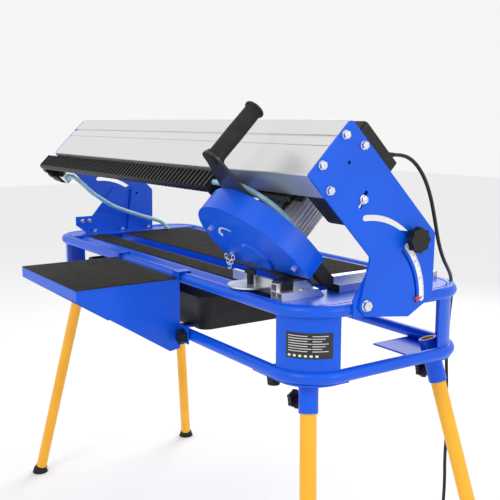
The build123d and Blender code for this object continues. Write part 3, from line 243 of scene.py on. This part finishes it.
red = finish("red_plastic", (0.50, 0.010, 0.010), (0.66, 0.018, 0.016), 0.3, coat=0.3,
             grain=(90, 90, 90), fine=(1600, 1600, 1600), height=0.00005)
green = finish("green_plastic", (0.008, 0.28, 0.06), (0.014, 0.36, 0.09), 0.3, coat=0.3,
               grain=(90, 90, 90), fine=(1600, 1600, 1600), height=0.00005)
print("finishes", len(bpy.data.materials) - 1)

# %% [markdown]
# ## Painting the CAD pieces
# A CAD piece keeps its mesh, and only its material changes. One table says which pieces share a
# finish, in the way that a paint shop would sort them onto racks.

# %% Paint
racks = [
    (blue, "upper_ring lower_ring corner_posts leg_brackets table_tray end_plates cross_bearers "
           "end_brackets tilt_plates guard_cover guard_back side_table_frame"),
    (yellow, "legs"),
    (rubber, "leg_feet bench_pads drain_plug cable_gland"),
    (plastic, "leg_knobs water_tub pump_body fence_caps gauge_clamp gauge_knob near_clamp_knob "
              "far_clamp_knob carriage_rollers switch_box junction_box side_table_knobs mains_plug"),
    (rail_metal, "rail"),
    (fence_metal, "fence_bars gauge_arm"),
    (cast_metal, "motor_bells motor_housing"),
    (zinc, "frame_bolts rail_bolts guard_bolts blade_fixings chain_anchor"),
    (ground_steel, "saw_blade hinge_pin motor_bearings"),
    (laminated, "stator rotor_shaft"),
    (black_paint, "carriage_plate handle_plate"),
    (scale_white, "angle_scales"),
    (red, "pointers stop_button"),
    (green, "start_button"),
]
painted = set()
for material, names in racks:
    for name in names.split():
        nodes[name].data.materials.clear()
        nodes[name].data.materials.append(material)
        painted.add(name)
print("painted", len(painted), "left to rebuild", sorted(set(nodes) - painted))

# %% [markdown]
# ## Bench habits
# New pieces are made with the same few moves: add a primitive at its size, shape it in edit mode,
# round its edges, and lay it in place. These helpers name those moves. Everything is deselected
# first, because an operator works on all that is selected.

# %% Helpers
def clear_selection():
    """Leaves nothing selected."""
    bpy.ops.object.select_all(action="DESELECT")


def settle(piece, name, material, body, slot, matrix=None, smooth=True):
    """Names, places and paints a finished mesh and lets it ride on a body."""
    bpy.ops.object.transform_apply(location=True, rotation=True, scale=True)
    if matrix is not None:
        piece.data.transform(matrix)
    piece.name = name
    piece.data.materials.clear()
    piece.data.materials.append(material)
    if smooth:
        bpy.ops.object.shade_smooth_by_angle(angle=radians(40))
    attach(piece, body)
    return piece


def soften(offset, segments=2):
    """Rounds every edge of the active mesh, in edit mode."""
    bpy.ops.object.mode_set(mode="EDIT")
    bpy.ops.mesh.select_all(action="SELECT")
    bpy.ops.mesh.bevel(offset=offset, segments=segments, affect="EDGES")
    bpy.ops.object.mode_set(mode="OBJECT")


def add_block(low, high, offset=0.0006):
    """A block between two corners, with rounded edges."""
    clear_selection()
    low, high = Vector(low), Vector(high)
    bpy.ops.mesh.primitive_cube_add(size=1, location=(low + high) / 2, scale=high - low)
    bpy.ops.object.transform_apply(location=True, rotation=True, scale=True)
    soften(offset)
    return bpy.context.object


def add_rod(radius, length, centre, way, offset=0.0005, sides=32):
    """A rod with rounded rims, its middle at centre and its axis along way."""
    clear_selection()
    bpy.ops.mesh.primitive_cylinder_add(vertices=sides, radius=radius, depth=length)
    rod = bpy.context.object
    bpy.ops.object.mode_set(mode="EDIT")
    bpy.ops.mesh.select_mode(type="EDGE")
    bpy.ops.mesh.select_all(action="DESELECT")
    bpy.ops.object.mode_set(mode="OBJECT")
    for edge in rod.data.edges:
        ends = [rod.data.vertices[i].co for i in edge.vertices]
        edge.select = abs(ends[0].z - ends[1].z) < 1e-6
    bpy.ops.object.mode_set(mode="EDIT")
    bpy.ops.mesh.bevel(offset=offset, segments=2, affect="EDGES")
    bpy.ops.object.mode_set(mode="OBJECT")
    turn = Vector(way).to_track_quat("Z", "Y").to_matrix().to_4x4()
    rod.data.transform(Matrix.Translation(Vector(centre)) @ turn)
    return rod


def join(pieces):
    """One object from several, as one moulding."""
    clear_selection()
    for piece in pieces:
        piece.select_set(True)
    bpy.context.view_layer.objects.active = pieces[0]
    bpy.ops.object.join()
    return bpy.context.object


print("helpers", [helper.__name__ for helper in (settle, soften, add_block, add_rod, join)])

# %% [markdown]
# ## The mains lead
# A flexible lead is a fixed length of cable. It leaves the gland, hangs behind the frame and is put
# away as a small coil on the floor. One NURBS curve holds the run and the turns, because a smooth
# curve bends the way a lead does. Its points repeat the design's, in metres.

# %% Lead route
cable_r = 0.00375
gland_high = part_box("cable_gland")[1]
exit_point = (0.5934, gland_high.y, 1.05294)
lead_points = [
    exit_point, (0.5934, 0.117, 1.05294), (0.595, 0.146, 1.040), (0.599, 0.170, 1.011),
    (0.602, 0.187, 0.972), (0.604, 0.199, 0.926), (0.603, 0.212, 0.880), (0.595, 0.236, 0.842),
    (0.577, 0.272, 0.815), (0.553, 0.310, 0.790), (0.534, 0.336, 0.750), (0.524, 0.342, 0.700),
    (0.519, 0.343, 0.644), (0.517, 0.346, 0.588), (0.518, 0.350, 0.530), (0.516, 0.352, 0.472),
    (0.518, 0.355, 0.414), (0.515, 0.356, 0.356), (0.517, 0.357, 0.298), (0.514, 0.358, 0.240),
    (0.516, 0.358, 0.182), (0.513, 0.357, 0.126), (0.508, 0.356, 0.074), (0.493, 0.353, 0.032),
    (0.468, 0.354, 0.009), (0.436, 0.359, cable_r), (0.406, 0.36125, cable_r), (0.375, 0.36125, cable_r),
]
print("exit", [round(v, 4) for v in exit_point], "points", len(lead_points))

# %% [markdown]
# ## Turns of the coil
# The turns lie two side by side in two layers, and the last half turn lies on top of them. A wound
# coil fills a layer from the outside in, steps up, and fills the next from the inside out. The table
# lists the turn number, the radius and the layer where each step begins and ends. The spline passes
# inside its points, so they swell a little.

# %% Coil
coil_x, coil_y = 0.330, 0.316
outer_turn, inner_turn, top_turn = 0.04525, 0.03735, 0.041
pitch = 2 * cable_r
coil_turns, per_turn = 4, 14
swell = 1 / cos(pi / per_turn)
coil_keys = [
    (0.00, outer_turn, 0), (0.83, outer_turn, 0), (1.00, inner_turn, 0), (1.68, inner_turn, 0),
    (1.83, inner_turn, 1), (2.50, inner_turn, 1), (2.68, outer_turn, 1), (3.32, outer_turn, 1),
    (3.50, outer_turn, 2), (3.70, top_turn, 2), (4.00, top_turn, 2),
]


def ease(share):
    """A share from 0 to 1 that starts and stops gently."""
    return share * share * (3 - 2 * share)


def coil_point(turned):
    """A point of the coil after so many turns."""
    before, after = next((a, b) for a, b in zip(coil_keys, coil_keys[1:]) if turned <= b[0] + 1e-9)
    share = ease((turned - before[0]) / (after[0] - before[0]))
    radius = swell * (before[1] + share * (after[1] - before[1]))
    height = cable_r + pitch * (before[2] + share * (after[2] - before[2]))
    angle = pi / 2 + 2 * pi * turned
    return coil_x + radius * cos(angle), coil_y + radius * sin(angle), height


for step in range(coil_turns * per_turn + 1):
    lead_points.append(coil_point(step / per_turn))
plug_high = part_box("mains_plug")[1]
end_y, end_z = coil_y + top_turn, cable_r + 2 * pitch
lead_points += [(0.312, end_y + 0.0005, end_z), (0.296, end_y, end_z), (plug_high.x, end_y, end_z)]
print("coil points", coil_turns * per_turn + 1, "plug at", round(plug_high.x, 4))

# %% [markdown]
# ## From points to a tube
# A curve with a round bevel is the quickest way to a cord, but the lead starts on the leaning bridge
# and ends on the floor, and a mesh can follow two bodies where a curve can't. So each long cord is
# drawn as a curve and turned into a mesh. Its middle line is read first, with no thickness, because
# that is how a cord's length is measured.

# %% Cord helpers
def cord_curve(name, points, radius):
    """A smooth round cord that follows the given control points."""
    data = bpy.data.curves.new(name, "CURVE")
    data.dimensions = "3D"
    data.bevel_depth = radius
    data.bevel_resolution = 5
    data.resolution_u = 8
    data.use_fill_caps = True
    spline = data.splines.new("NURBS")
    spline.points.add(len(points) - 1)
    for control, point in zip(spline.points, points):
        control.co = (*point, 1.0)
    spline.order_u = 3
    spline.use_endpoint_u = True
    cord = bpy.data.objects.new(name, data)
    bpy.context.scene.collection.objects.link(cord)
    return cord


def middle_line(cord):
    """The points along a cord's own line, read from the curve with no thickness."""
    thickness = cord.data.bevel_depth
    cord.data.bevel_depth = 0.0
    bpy.context.view_layer.update()
    line = bpy.data.meshes.new_from_object(cord.evaluated_get(bpy.context.evaluated_depsgraph_get()))
    points = [tuple(vertex.co) for vertex in line.vertices]
    cord.data.bevel_depth = thickness
    bpy.context.view_layer.update()
    return points


def as_tube(cord, material):
    """A mesh tube from a cord, with its material, and the cord's middle line."""
    path = middle_line(cord)
    mesh = bpy.data.meshes.new_from_object(cord.evaluated_get(bpy.context.evaluated_depsgraph_get()))
    name = cord.name
    bpy.data.objects.remove(cord)
    tube = bpy.data.objects.new(name, mesh)
    bpy.context.scene.collection.objects.link(tube)
    mesh.materials.clear()
    mesh.materials.append(material)
    for face in mesh.polygons:
        face.use_smooth = True
    return tube, path


def path_length(path):
    """How long a cord is, measured along its middle line."""
    return sum((Vector(b) - Vector(a)).length for a, b in zip(path, path[1:]))


print("helpers", [helper.__name__ for helper in (cord_curve, middle_line, as_tube, path_length)])

# %% [markdown]
# ## The lead itself
# The lead is one mesh tube from the gland to the plug at its far end.

# %% Lead
lead, lead_path = as_tube(cord_curve("mains_lead", lead_points, cable_r), lead_vinyl)
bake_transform(lead)
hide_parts("mains_cable", "cable_coil")

# %% [markdown]
# ## Water hoses
# Soft vinyl hose carries the water: one from the chain's fixed end down to the table, one from its
# moving end round to the guard. Each crosses a joint, and both are made as mesh tubes. The first
# dips through a rubber grommet in the table, towards the pump below. The grommet is a plain torus.

# %% Feed hose
hose_r = 0.006
feed_points = [on_bridge(*p) for p in (
    (-564.5, 54, 195), (-540, 54, 195), (-519, 54, 180.5), (-508.5, 53, 156), (-504.5, 52.5, 128))]
feed_points += [(-0.505, -0.014, 0.881), (-0.507, 0.020, 0.861), (-0.508, 0.064, 0.844),
                (-0.504, 0.108, 0.828), (-0.500, 0.146, 0.817), (-0.493, 0.176, 0.806),
                (-0.488, 0.189, 0.779)]
feed, feed_path = as_tube(cord_curve("feed_water_hose", feed_points, hose_r), hose_vinyl)
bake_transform(feed)
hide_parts("feed_hose")
mat_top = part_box("table_mats")[1].z
clear_selection()
bpy.ops.mesh.primitive_torus_add(major_radius=hose_r + 2.2 * mm, minor_radius=2.4 * mm,
                                 major_segments=40, minor_segments=12)
grommet = bpy.context.object
dips_at = feed_points[-1]
grommet.data.transform(Matrix.Translation((dips_at[0], dips_at[1] - 1 * mm, mat_top)))
settle(grommet, "hose_grommet", rubber, "frame", "black_rubber")

# %% [markdown]
# ## The hose on the saw head
# The second hose hangs in a loop, because the head drops when the saw plunges. It ends on a short
# stepped nipple in the back of the guard, made of two rods of slightly different width.

# %% Head hose
head_points = [on_bridge(*p) for p in (
    (322, 54, 249), (356, 54, 249), (396, 54, 252), (436, 52, 244), (470, 50, 226),
    (495, 48, 199), (505, 47, 160), (504, 42, 142), (503, 27, 130))]
head_hose, head_path = as_tube(cord_curve("head_water_hose", head_points, hose_r), hose_vinyl)
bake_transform(head_hose)
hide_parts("head_hose")
nipple_x, nipple_way = 503 * mm, (0, 15, 12)
nipple = join([
    add_rod(8 * mm, 6 * mm, (nipple_x, 30 * mm, 132.4 * mm), nipple_way, 0.0008, 32),
    add_rod(7.2 * mm, 7 * mm, (nipple_x, 35 * mm, 136.4 * mm), nipple_way, 0.0006, 32),
])
settle(nipple, "hose_nipple", zinc, "head", "zinc_steel", BRIDGE)

# %% [markdown]
# ## The link chain
# The cable and the hose travel in a chain of hinged plastic links. One link is modelled, from a core,
# two cheeks and a plate across its back. The plate's far edge is lowered, so that a row of links
# shows a saw-tooth back, as real ones do.

# %% One link
chain_front, chain_rear = 34 * mm, 74 * mm
chain_high = 22 * mm
chain_top, loop_r, loop_x = 260 * mm, 38 * mm, -634 * mm
chain_moving, chain_fixed = 322 * mm, -590 * mm
turn_r = loop_r - chain_high / 2
link_step = 17 * mm
core_gap, cheek_gap, cheek_half = 3 * mm, 1.8 * mm, 1.4 * mm
plate_thick, plate_drop = 4.5 * mm, 2.2 * mm


def one_link():
    """A link lying along X with its middle at the origin: cheeks, a core and a sloping back plate."""
    half = (chain_rear - chain_front) / 2
    back, reach = chain_high / 2, link_step / 2
    parts = [add_block((-reach, core_gap - half, 1 * mm - back),
                       (reach, half - core_gap, back - plate_thick), 0.0005)]
    for side in (-1, 1):
        cheek = side * (half - cheek_gap)
        parts.append(add_block((2.5 * mm - reach, cheek - cheek_half, -back),
                               (reach - 1.0 * mm, cheek + cheek_half, back - 4 * mm), 0.0007))
    plate = add_block((0.8 * mm - reach, 0.4 * mm - half, back - plate_thick),
                      (reach - 2.4 * mm, half - 0.4 * mm, back), 0.0009)
    for vertex in plate.data.vertices:
        if vertex.co.x < 0 and vertex.co.z > back - 2 * mm:
            vertex.co.z -= plate_drop
    parts.append(plate)
    return join(parts)


link = one_link()
print("faces of a link", len(link.data.polygons))

# %% [markdown]
# ## The links in a row
# The link is copied at even steps along the chain's line, which is a straight, a half turn and a
# short straight back. Each copy gets a mesh of its own, and then all are joined as one piece.

# %% Link chain
def chain_place(along):
    """Where a link stands, and how far it has turned, at a distance from the moving end."""
    straight = chain_moving - loop_x
    middle_z = chain_top - loop_r
    if along < straight:
        return Vector((chain_moving - along, 0, middle_z + turn_r)), 0.0
    if along < straight + pi * turn_r:
        turned = (along - straight) / turn_r
        return Vector((loop_x - turn_r * sin(turned), 0, middle_z + turn_r * cos(turned))), turned
    back = along - straight - pi * turn_r
    return Vector((loop_x + back, 0, middle_z - turn_r)), pi


chain_long = chain_moving - loop_x + pi * turn_r + chain_fixed - loop_x
copies = []
for number in range(int(chain_long / link_step)):
    place, turned = chain_place((number + 0.5) * link_step)
    copy = link.copy()
    copy.data = link.data.copy()
    bpy.context.scene.collection.objects.link(copy)
    place.y = (chain_front + chain_rear) / 2
    copy.data.transform(Matrix.Translation(place) @ Matrix.Rotation(-turned, 4, "Y"))
    copies.append(copy)
bpy.data.objects.remove(link)
chain = join(copies)
chain.name = "link_chain"
chain.data.transform(BRIDGE)
chain.data.materials.clear()
chain.data.materials.append(plastic)
bpy.ops.object.shade_smooth_by_angle(angle=radians(35))
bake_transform(chain)
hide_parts("cable_chain")
print("links", len(copies), "faces", len(chain.data.polygons))

# %% [markdown]
# ## Rubber mats
# The mats are thin rubber sheets with fine ribs that grip a wet tile. A sheet is a rounded block,
# and the ribs are one small bar repeated by an Array modifier, which is then applied.

# %% Mats
def ribbed_mat(low, high, rib_step=5 * mm):
    """A sheet between two corners, with ribs along X on its upper face."""
    rib_high, end_margin, side_margin = 0.6 * mm, 4 * mm, 3 * mm
    sheet = add_block(low, (high[0], high[1], high[2] - rib_high), 0.0007)
    rib = add_block((low[0] + end_margin, low[1] + side_margin, high[2] - 2 * rib_high),
                    (high[0] - end_margin, low[1] + side_margin + rib_step * 0.5, high[2]), 0.0003)
    repeat = rib.modifiers.new("ribs", "ARRAY")
    repeat.use_relative_offset = False
    repeat.use_constant_offset = True
    repeat.constant_offset_displace = (0, rib_step, 0)
    repeat.count = max(1, int((high[1] - low[1] - 6 * mm) / rib_step))
    bpy.ops.object.modifier_apply(modifier="ribs")
    return join([sheet, rib])


mats_low, mats_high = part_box("table_mats")
trough = (-0.012, 0.044)
table_sheets = [ribbed_mat(mats_low, (mats_high.x, trough[0], mats_high.z)),
                ribbed_mat((mats_low.x, trough[1], mats_low.z), mats_high)]
mats = join(table_sheets)
settle(mats, "ribbed_table_mats", mat_rubber, "frame", "black_rubber")
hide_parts("table_mats")
side_low, side_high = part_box("side_table_mat")
side_mat = ribbed_mat(side_low, side_high)
settle(side_mat, "ribbed_side_mat", mat_rubber, "side_table", "black_rubber")
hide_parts("side_table_mat")
print("mat faces", len(mats.data.polygons), len(side_mat.data.polygons))

# %% [markdown]
# ## The handle's grip
# The grip is a turned rubber sleeve: a straight barrel with a rolled flange at each end. It is
# drawn as half a profile and spun about its axis. The box that it fills is measured along the bridge.

# %% Grip
def bridge_box(node):
    """A node's lowest and highest corner along the leaning bridge, in metres."""
    back = BRIDGE.inverted()
    points = [back @ vertex.co for vertex in nodes[node].data.vertices]
    low = Vector([min(p[i] for p in points) for i in range(3)])
    high = Vector([max(p[i] for p in points) for i in range(3)])
    return low, high


grip_low, grip_high = bridge_box("grip")
grip_long = grip_high.y - grip_low.y
grip_mid = (grip_low + grip_high) / 2
flange_r = (grip_high.x - grip_low.x) / 2
profile = [(0.0, 0.0), (0.0, 0.93), (0.010, 0.99), (0.030, 1.0), (0.046, 0.97), (0.052, 0.86),
           (0.10, 0.82), (0.50, 0.85), (0.90, 0.82), (0.945, 0.86), (0.952, 0.97), (0.966, 1.0),
           (0.990, 0.98), (1.0, 0.92), (1.0, 0.0)]
clear_selection()
bpy.ops.mesh.primitive_circle_add(vertices=3, radius=0.001)
grip = bpy.context.object
bpy.ops.object.mode_set(mode="EDIT")
bpy.ops.mesh.delete(type="VERT")
bpy.ops.object.mode_set(mode="OBJECT")
grip.data.from_pydata([(flange_r * share, along * grip_long, 0) for along, share in profile],
                      [(i, i + 1) for i in range(len(profile) - 1)], [])
bpy.ops.object.mode_set(mode="EDIT")
bpy.ops.mesh.select_all(action="SELECT")
bpy.ops.mesh.spin(steps=48, angle=2 * pi, center=(0, 0, 0), axis=(0, 1, 0))
bpy.ops.mesh.select_all(action="SELECT")
bpy.ops.mesh.remove_doubles(threshold=0.00001)
bpy.ops.mesh.normals_make_consistent(inside=False)
bpy.ops.object.mode_set(mode="OBJECT")
grip.data.transform(Matrix.Translation((grip_mid.x, grip_low.y, grip_mid.z)))
settle(grip, "rubber_grip", rubber, "head", "black_rubber", BRIDGE)
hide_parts("grip")
print("grip", round(grip_long, 3))

# %% [markdown]
# ## Splash flap
# A rubber flap keeps the spray under the guard. It is a rounded block with five upright ribs that
# stand 1 mm proud on both faces, because thin rubber needs stiffening.

# %% Splash flap
flap_low, flap_high = bridge_box("splash_flap")
rib_half, rib_proud = 1.2 * mm, 1 * mm
inward = Vector((0, rib_proud, 0))
flap_parts = [add_block(flap_low + inward, flap_high - inward, 0.0016)]
for share in (0.1, 0.3, 0.5, 0.7, 0.9):
    x = flap_low.x + share * (flap_high.x - flap_low.x)
    flap_parts.append(add_block((x - rib_half, flap_low.y, flap_low.z + 1 * mm),
                                (x + rib_half, flap_high.y, flap_high.z - 1 * mm), 0.0005))
flap = join(flap_parts)
settle(flap, "rubber_flap", rubber, "head", "black_rubber", BRIDGE)
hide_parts("splash_flap")
print("flap", [round(v, 3) for v in flap_high - flap_low])

# %% [markdown]
# ## Degree scales
# Each end plate carries a printed arc from 0 to 45 degrees. The marks are thin raised strips, long
# at every fifth degree, with plain numbers at every fifteenth.

# %% Degree marks
scale_low, scale_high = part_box("angle_scales")
long_mark_r, short_mark_r, rim_r, number_r = 144.6 * mm, 147.0 * mm, 149.6 * mm, 141.8 * mm
ink = 0.1 * mm


def degree_marks(x, side):
    """Marks and numbers for one scale, standing just proud of its face."""
    marks = []
    for degree in range(46):
        long_mark = degree % 5 == 0
        half_wide = (0.35 if long_mark else 0.2) * mm
        mark = add_block((-half_wide, long_mark_r if long_mark else short_mark_r, -ink),
                         (half_wide, rim_r, ink), 0.00003)
        mark.data.transform(Matrix.Translation((x, 0, 0)) @ Matrix.Rotation(radians(90 * side), 4, "Y"))
        mark.data.transform(Matrix.Rotation(-radians(degree), 4, "X"))
        marks.append(mark)
    for degree in (0, 15, 30, 45):
        clear_selection()
        bpy.ops.object.text_add()
        number = bpy.context.object
        number.data.body = str(degree)
        number.data.size = 5.2 * mm
        number.data.align_x = "CENTER"
        number.data.align_y = "CENTER"
        number.data.extrude = ink
        bpy.ops.object.convert(target="MESH")
        number.data.transform(Matrix(((0, 0, side, 0), (side, 0, 0, 0), (0, 1, 0, 0), (0, 0, 0, 1))))
        here = radians(degree)
        number.data.transform(Matrix.Translation((x, number_r * cos(here), -number_r * sin(here))))
        marks.append(number)
    return join(marks)


for label, x, side in (("near", scale_high.x, 1), ("far", scale_low.x, -1)):
    marks = degree_marks(x, side)
    settle(marks, label + "_degree_marks", print_black, "bridge", "scale_white", BRIDGE, False)
    print(label, "scale faces", len(marks.data.polygons))

# %% [markdown]
# ## Plain label on the corner post
# A rating plate is a thin sheet wrapped round the post. It carries only blank rules and dots.

# %% Corner label
post_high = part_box("corner_posts")[1]
bend_x, bend_y = 0.5215, -0.040
post_r = post_high.x - bend_x
label_low, label_high = 0.684, 0.733
rule_top, rule_step, rule_high = 0.7265, 0.0048, 0.0012
printed, ink_thick = 0.4 * mm, 0.1 * mm


def wrapped(low_angle, high_angle, low_z, high_z, lift, thick=0.3 * mm):
    """A thin sheet round the post between two angles and two heights."""
    clear_selection()
    bpy.ops.mesh.primitive_grid_add(x_subdivisions=24, y_subdivisions=1, size=1)
    sheet = bpy.context.object
    for vertex in sheet.data.vertices:
        angle = radians(low_angle + (vertex.co.x + 0.5) * (high_angle - low_angle))
        height = low_z + (vertex.co.y + 0.5) * (high_z - low_z)
        vertex.co = (bend_x + (post_r + lift) * cos(angle), bend_y + (post_r + lift) * sin(angle), height)
    shell = sheet.modifiers.new("thickness", "SOLIDIFY")
    shell.thickness = thick
    shell.offset = 1.0
    bpy.ops.object.modifier_apply(modifier="thickness")
    return sheet


label = wrapped(-72, -12, label_low, label_high, 0.05 * mm)
settle(label, "label_plate", print_black, "frame", "black_plastic")
rules = []
for row in range(7):
    height = rule_top - row * rule_step
    rules.append(wrapped(-69, -44 + 5 * (row % 2), height, height + rule_high, printed, ink_thick))
    rules.append(wrapped(-38, -18 - 4 * (row % 3), height, height + rule_high, printed, ink_thick))
for spot in range(6):
    rules.append(wrapped(-69 + 7 * spot, -65.5 + 7 * spot, 0.6875, 0.6915, printed, ink_thick))
settle(join(rules), "label_rules", print_white, "frame", "scale_white")
print("label height", round(label_high - label_low, 3), "rules", len(rules))

# %% [markdown]
# ## Arrow on the guard
# The cover shows which way the blade turns with a curved arrow, printed on its flat face, which lies
# 5 mm behind the face of the boss. The arrow is a row of thin bars round an arc, each turned to
# follow it, with a three-sided tip at the end.

# %% Turning arrow
guard_low = bridge_box("guard_cover")[0]
arrow_x, arrow_z, arrow_r = 386 * mm, 166 * mm, 36 * mm
boss_high = 5 * mm
arrow_from, bar_step, bars = 58, 4.5, 21
arrow_face = guard_low.y + boss_high - 0.1 * mm
arrow_parts = []


def on_arrow(here):
    """The place on the arrow's arc at an angle."""
    return Matrix.Translation((arrow_x + arrow_r * cos(here), arrow_face, arrow_z + arrow_r * sin(here)))


for step in range(bars):
    here = radians(arrow_from + bar_step * step)
    bar = add_block((-1.8 * mm, -0.15 * mm, -2.2 * mm), (1.8 * mm, 0.15 * mm, 2.2 * mm), 0.00005)
    bar.data.transform(on_arrow(here) @ Matrix.Rotation(-here - pi / 2, 4, "Y"))
    arrow_parts.append(bar)
clear_selection()
bpy.ops.mesh.primitive_cone_add(vertices=3, radius1=9 * mm, radius2=8.8 * mm, depth=0.3 * mm)
tip = bpy.context.object
tip_at = radians(arrow_from + bar_step * bars + 6)
tip.data.transform(on_arrow(tip_at) @ Matrix.Rotation(atan2(-sin(tip_at), cos(tip_at)), 4, "Y")
                   @ Matrix.Rotation(pi / 2, 4, "X"))
arrow_parts.append(tip)
settle(join(arrow_parts), "turning_arrow", print_white, "head", "scale_white", BRIDGE)
print("arrow bars", bars)

# %% [markdown]
# ## Keeper chain
# A short keeper chain of wire links hangs in a loop by the cover's lower bolt. A link is a torus
# drawn out a little, turned a quarter from the one before.

# %% Keeper chain
hang_from = on_bridge(316, -27, 108)
keeper_links, link_down, link_across = 9, 5.0 * mm, 3.4 * mm
links = []
for number in range(keeper_links):
    down = min(number, keeper_links - 1 - number) * link_down
    across = (number - keeper_links // 2) * link_across
    clear_selection()
    bpy.ops.mesh.primitive_torus_add(major_radius=3.6 * mm, minor_radius=0.7 * mm,
                                     major_segments=20, minor_segments=8)
    wire = bpy.context.object
    wire.data.transform(Matrix.Scale(1.35, 4, (0, 1, 0)))
    wire.data.transform(Matrix.Rotation(pi / 2, 4, "X"))
    wire.data.transform(Matrix.Rotation(pi / 2 * (number % 2) + 0.5, 4, "Z"))
    wire.data.transform(Matrix.Translation(hang_from + Vector((across, -2 * mm, -down))))
    links.append(wire)
settle(join(links), "keeper_chain", zinc, "head", "zinc_steel")
print("keeper links", len(links))

# %% [markdown]
# ## Screws and lugs
# Small screws hold the fence and the switch box, whose housing has a lug above and one below. A screw
# is a rounded disc on a thin collar, made once as a helper because there are eight of them.

# %% Screws and lugs
def screw(place, way, radius=3.4 * mm):
    """A pan head with a raised rim, standing on a surface."""
    way = Vector(way).normalized()
    head = add_rod(radius, 2.2 * mm, Vector(place) + way * 1.1 * mm, way, 0.0008, 24)
    collar = add_rod(radius * 1.3, 0.6 * mm, Vector(place) + way * 0.3 * mm, way, 0.0002, 24)
    return join([head, collar])


fence_x, fence_top, up = 0.516, 0.798, (0, 0, 1)
fence_screws = [screw((fence_x, y, fence_top), up) for y in (-0.065, -0.035, 0.06, 0.25)]
settle(join(fence_screws), "fence_screws", zinc, "frame", "zinc_steel")

switch_low, switch_high = bridge_box("switch_box")
box_screws, inset = [], 7 * mm
for x in (switch_low.x + inset, switch_high.x - inset):
    for height in (switch_low.z + inset, switch_high.z - inset):
        box_screws.append(screw((x, switch_high.y, height), (0, 1, 0), 2.6 * mm))
settle(join(box_screws), "switch_box_screws", zinc, "bridge", "zinc_steel", BRIDGE)
lugs = [add_block((switch_low.x + 10 * mm, switch_low.y, end),
                  (switch_low.x + 30 * mm, switch_low.y + 8 * mm, end + 9 * mm), 0.0012)
        for end in (switch_high.z - 2 * mm, switch_low.z - 7 * mm)]
settle(join(lugs), "switch_box_lugs", plastic, "bridge", "black_plastic", BRIDGE)
print("screws", len(fence_screws) + len(box_screws), "lugs", len(lugs))

# %% [markdown]
# ## Bolt in the slanted slot
# A hexagon bolt sits in the slanted slot of the near end plate. It is a six-sided head on a round
# washer, and a short shank that fills the slot behind them, all along the room's own X.

# %% Slot bolt
plate_face = 627.9
slot_at = on_bridge(plate_face, 131, 147)
slot_bolt = join([
    add_rod(7.5 * mm, 5.3 * mm, slot_at + Vector((3.9 * mm, 0, 0)), (1, 0, 0), 0.0007, 6),
    add_rod(8.5 * mm, 1.4 * mm, slot_at + Vector((0.7 * mm, 0, 0)), (1, 0, 0), 0.0002, 32),
    add_rod(3.6 * mm, 4.0 * mm, slot_at - Vector((1.9 * mm, 0, 0)), (1, 0, 0), 0.0002, 24),
])
settle(slot_bolt, "slot_bolt", zinc, "bridge", "zinc_steel")
print("slot bolt at", [round(v, 3) for v in slot_at])

# %% [markdown]
# ## Hose tie
# A white tie is pulled tight round the feed hose, a third of the way down. It is a thin torus, laid
# across the hose's own direction at that point of its path.

# %% Hose tie
clear_selection()
tie_step = len(feed_path) // 3
tie_at = Vector(feed_path[tie_step])
tie_way = Vector(feed_path[tie_step + 1]) - tie_at
bpy.ops.mesh.primitive_torus_add(major_radius=hose_r + 0.5 * mm, minor_radius=0.9 * mm,
                                 major_segments=32, minor_segments=10)
tie = bpy.context.object
tie.data.transform(Matrix.Translation(tie_at) @ tie_way.to_track_quat("Z", "Y").to_matrix().to_4x4())
settle(tie, "hose_tie", print_white, "frame", "scale_white")
print("tie at", [round(v, 3) for v in tie_at])

# %% [markdown]
# ## Terminal box
# The motor's wires meet in a small moulded box with a lid and a round cable entry. A short lead goes
# from the entry down to the guard. It rides with the head and never bends, so it stays a curve.

# %% Terminal box and motor lead
motor_lead_r = 0.003
terminal = join([
    add_block((448 * mm, 96 * mm, 160 * mm), (492 * mm, 150 * mm, 181 * mm), 0.003),
    add_block((450 * mm, 98 * mm, 180 * mm), (490 * mm, 148 * mm, 184 * mm), 0.0015),
    add_rod(6 * mm, 14 * mm, (470 * mm, 90 * mm, 172 * mm), (0, 1, 0)),
])
settle(terminal, "terminal_box", plastic, "head", "black_plastic", BRIDGE)
motor_points = [on_bridge(*p) for p in (
    (470, 83, 172), (470, 70, 173), (464, 56, 166), (455, 42, 154), (452, 28, 147))]
motor_lead = cord_curve("motor_lead", motor_points, motor_lead_r)
motor_path = middle_line(motor_lead)
motor_lead.data.materials.append(lead_vinyl)
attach(motor_lead, "head")
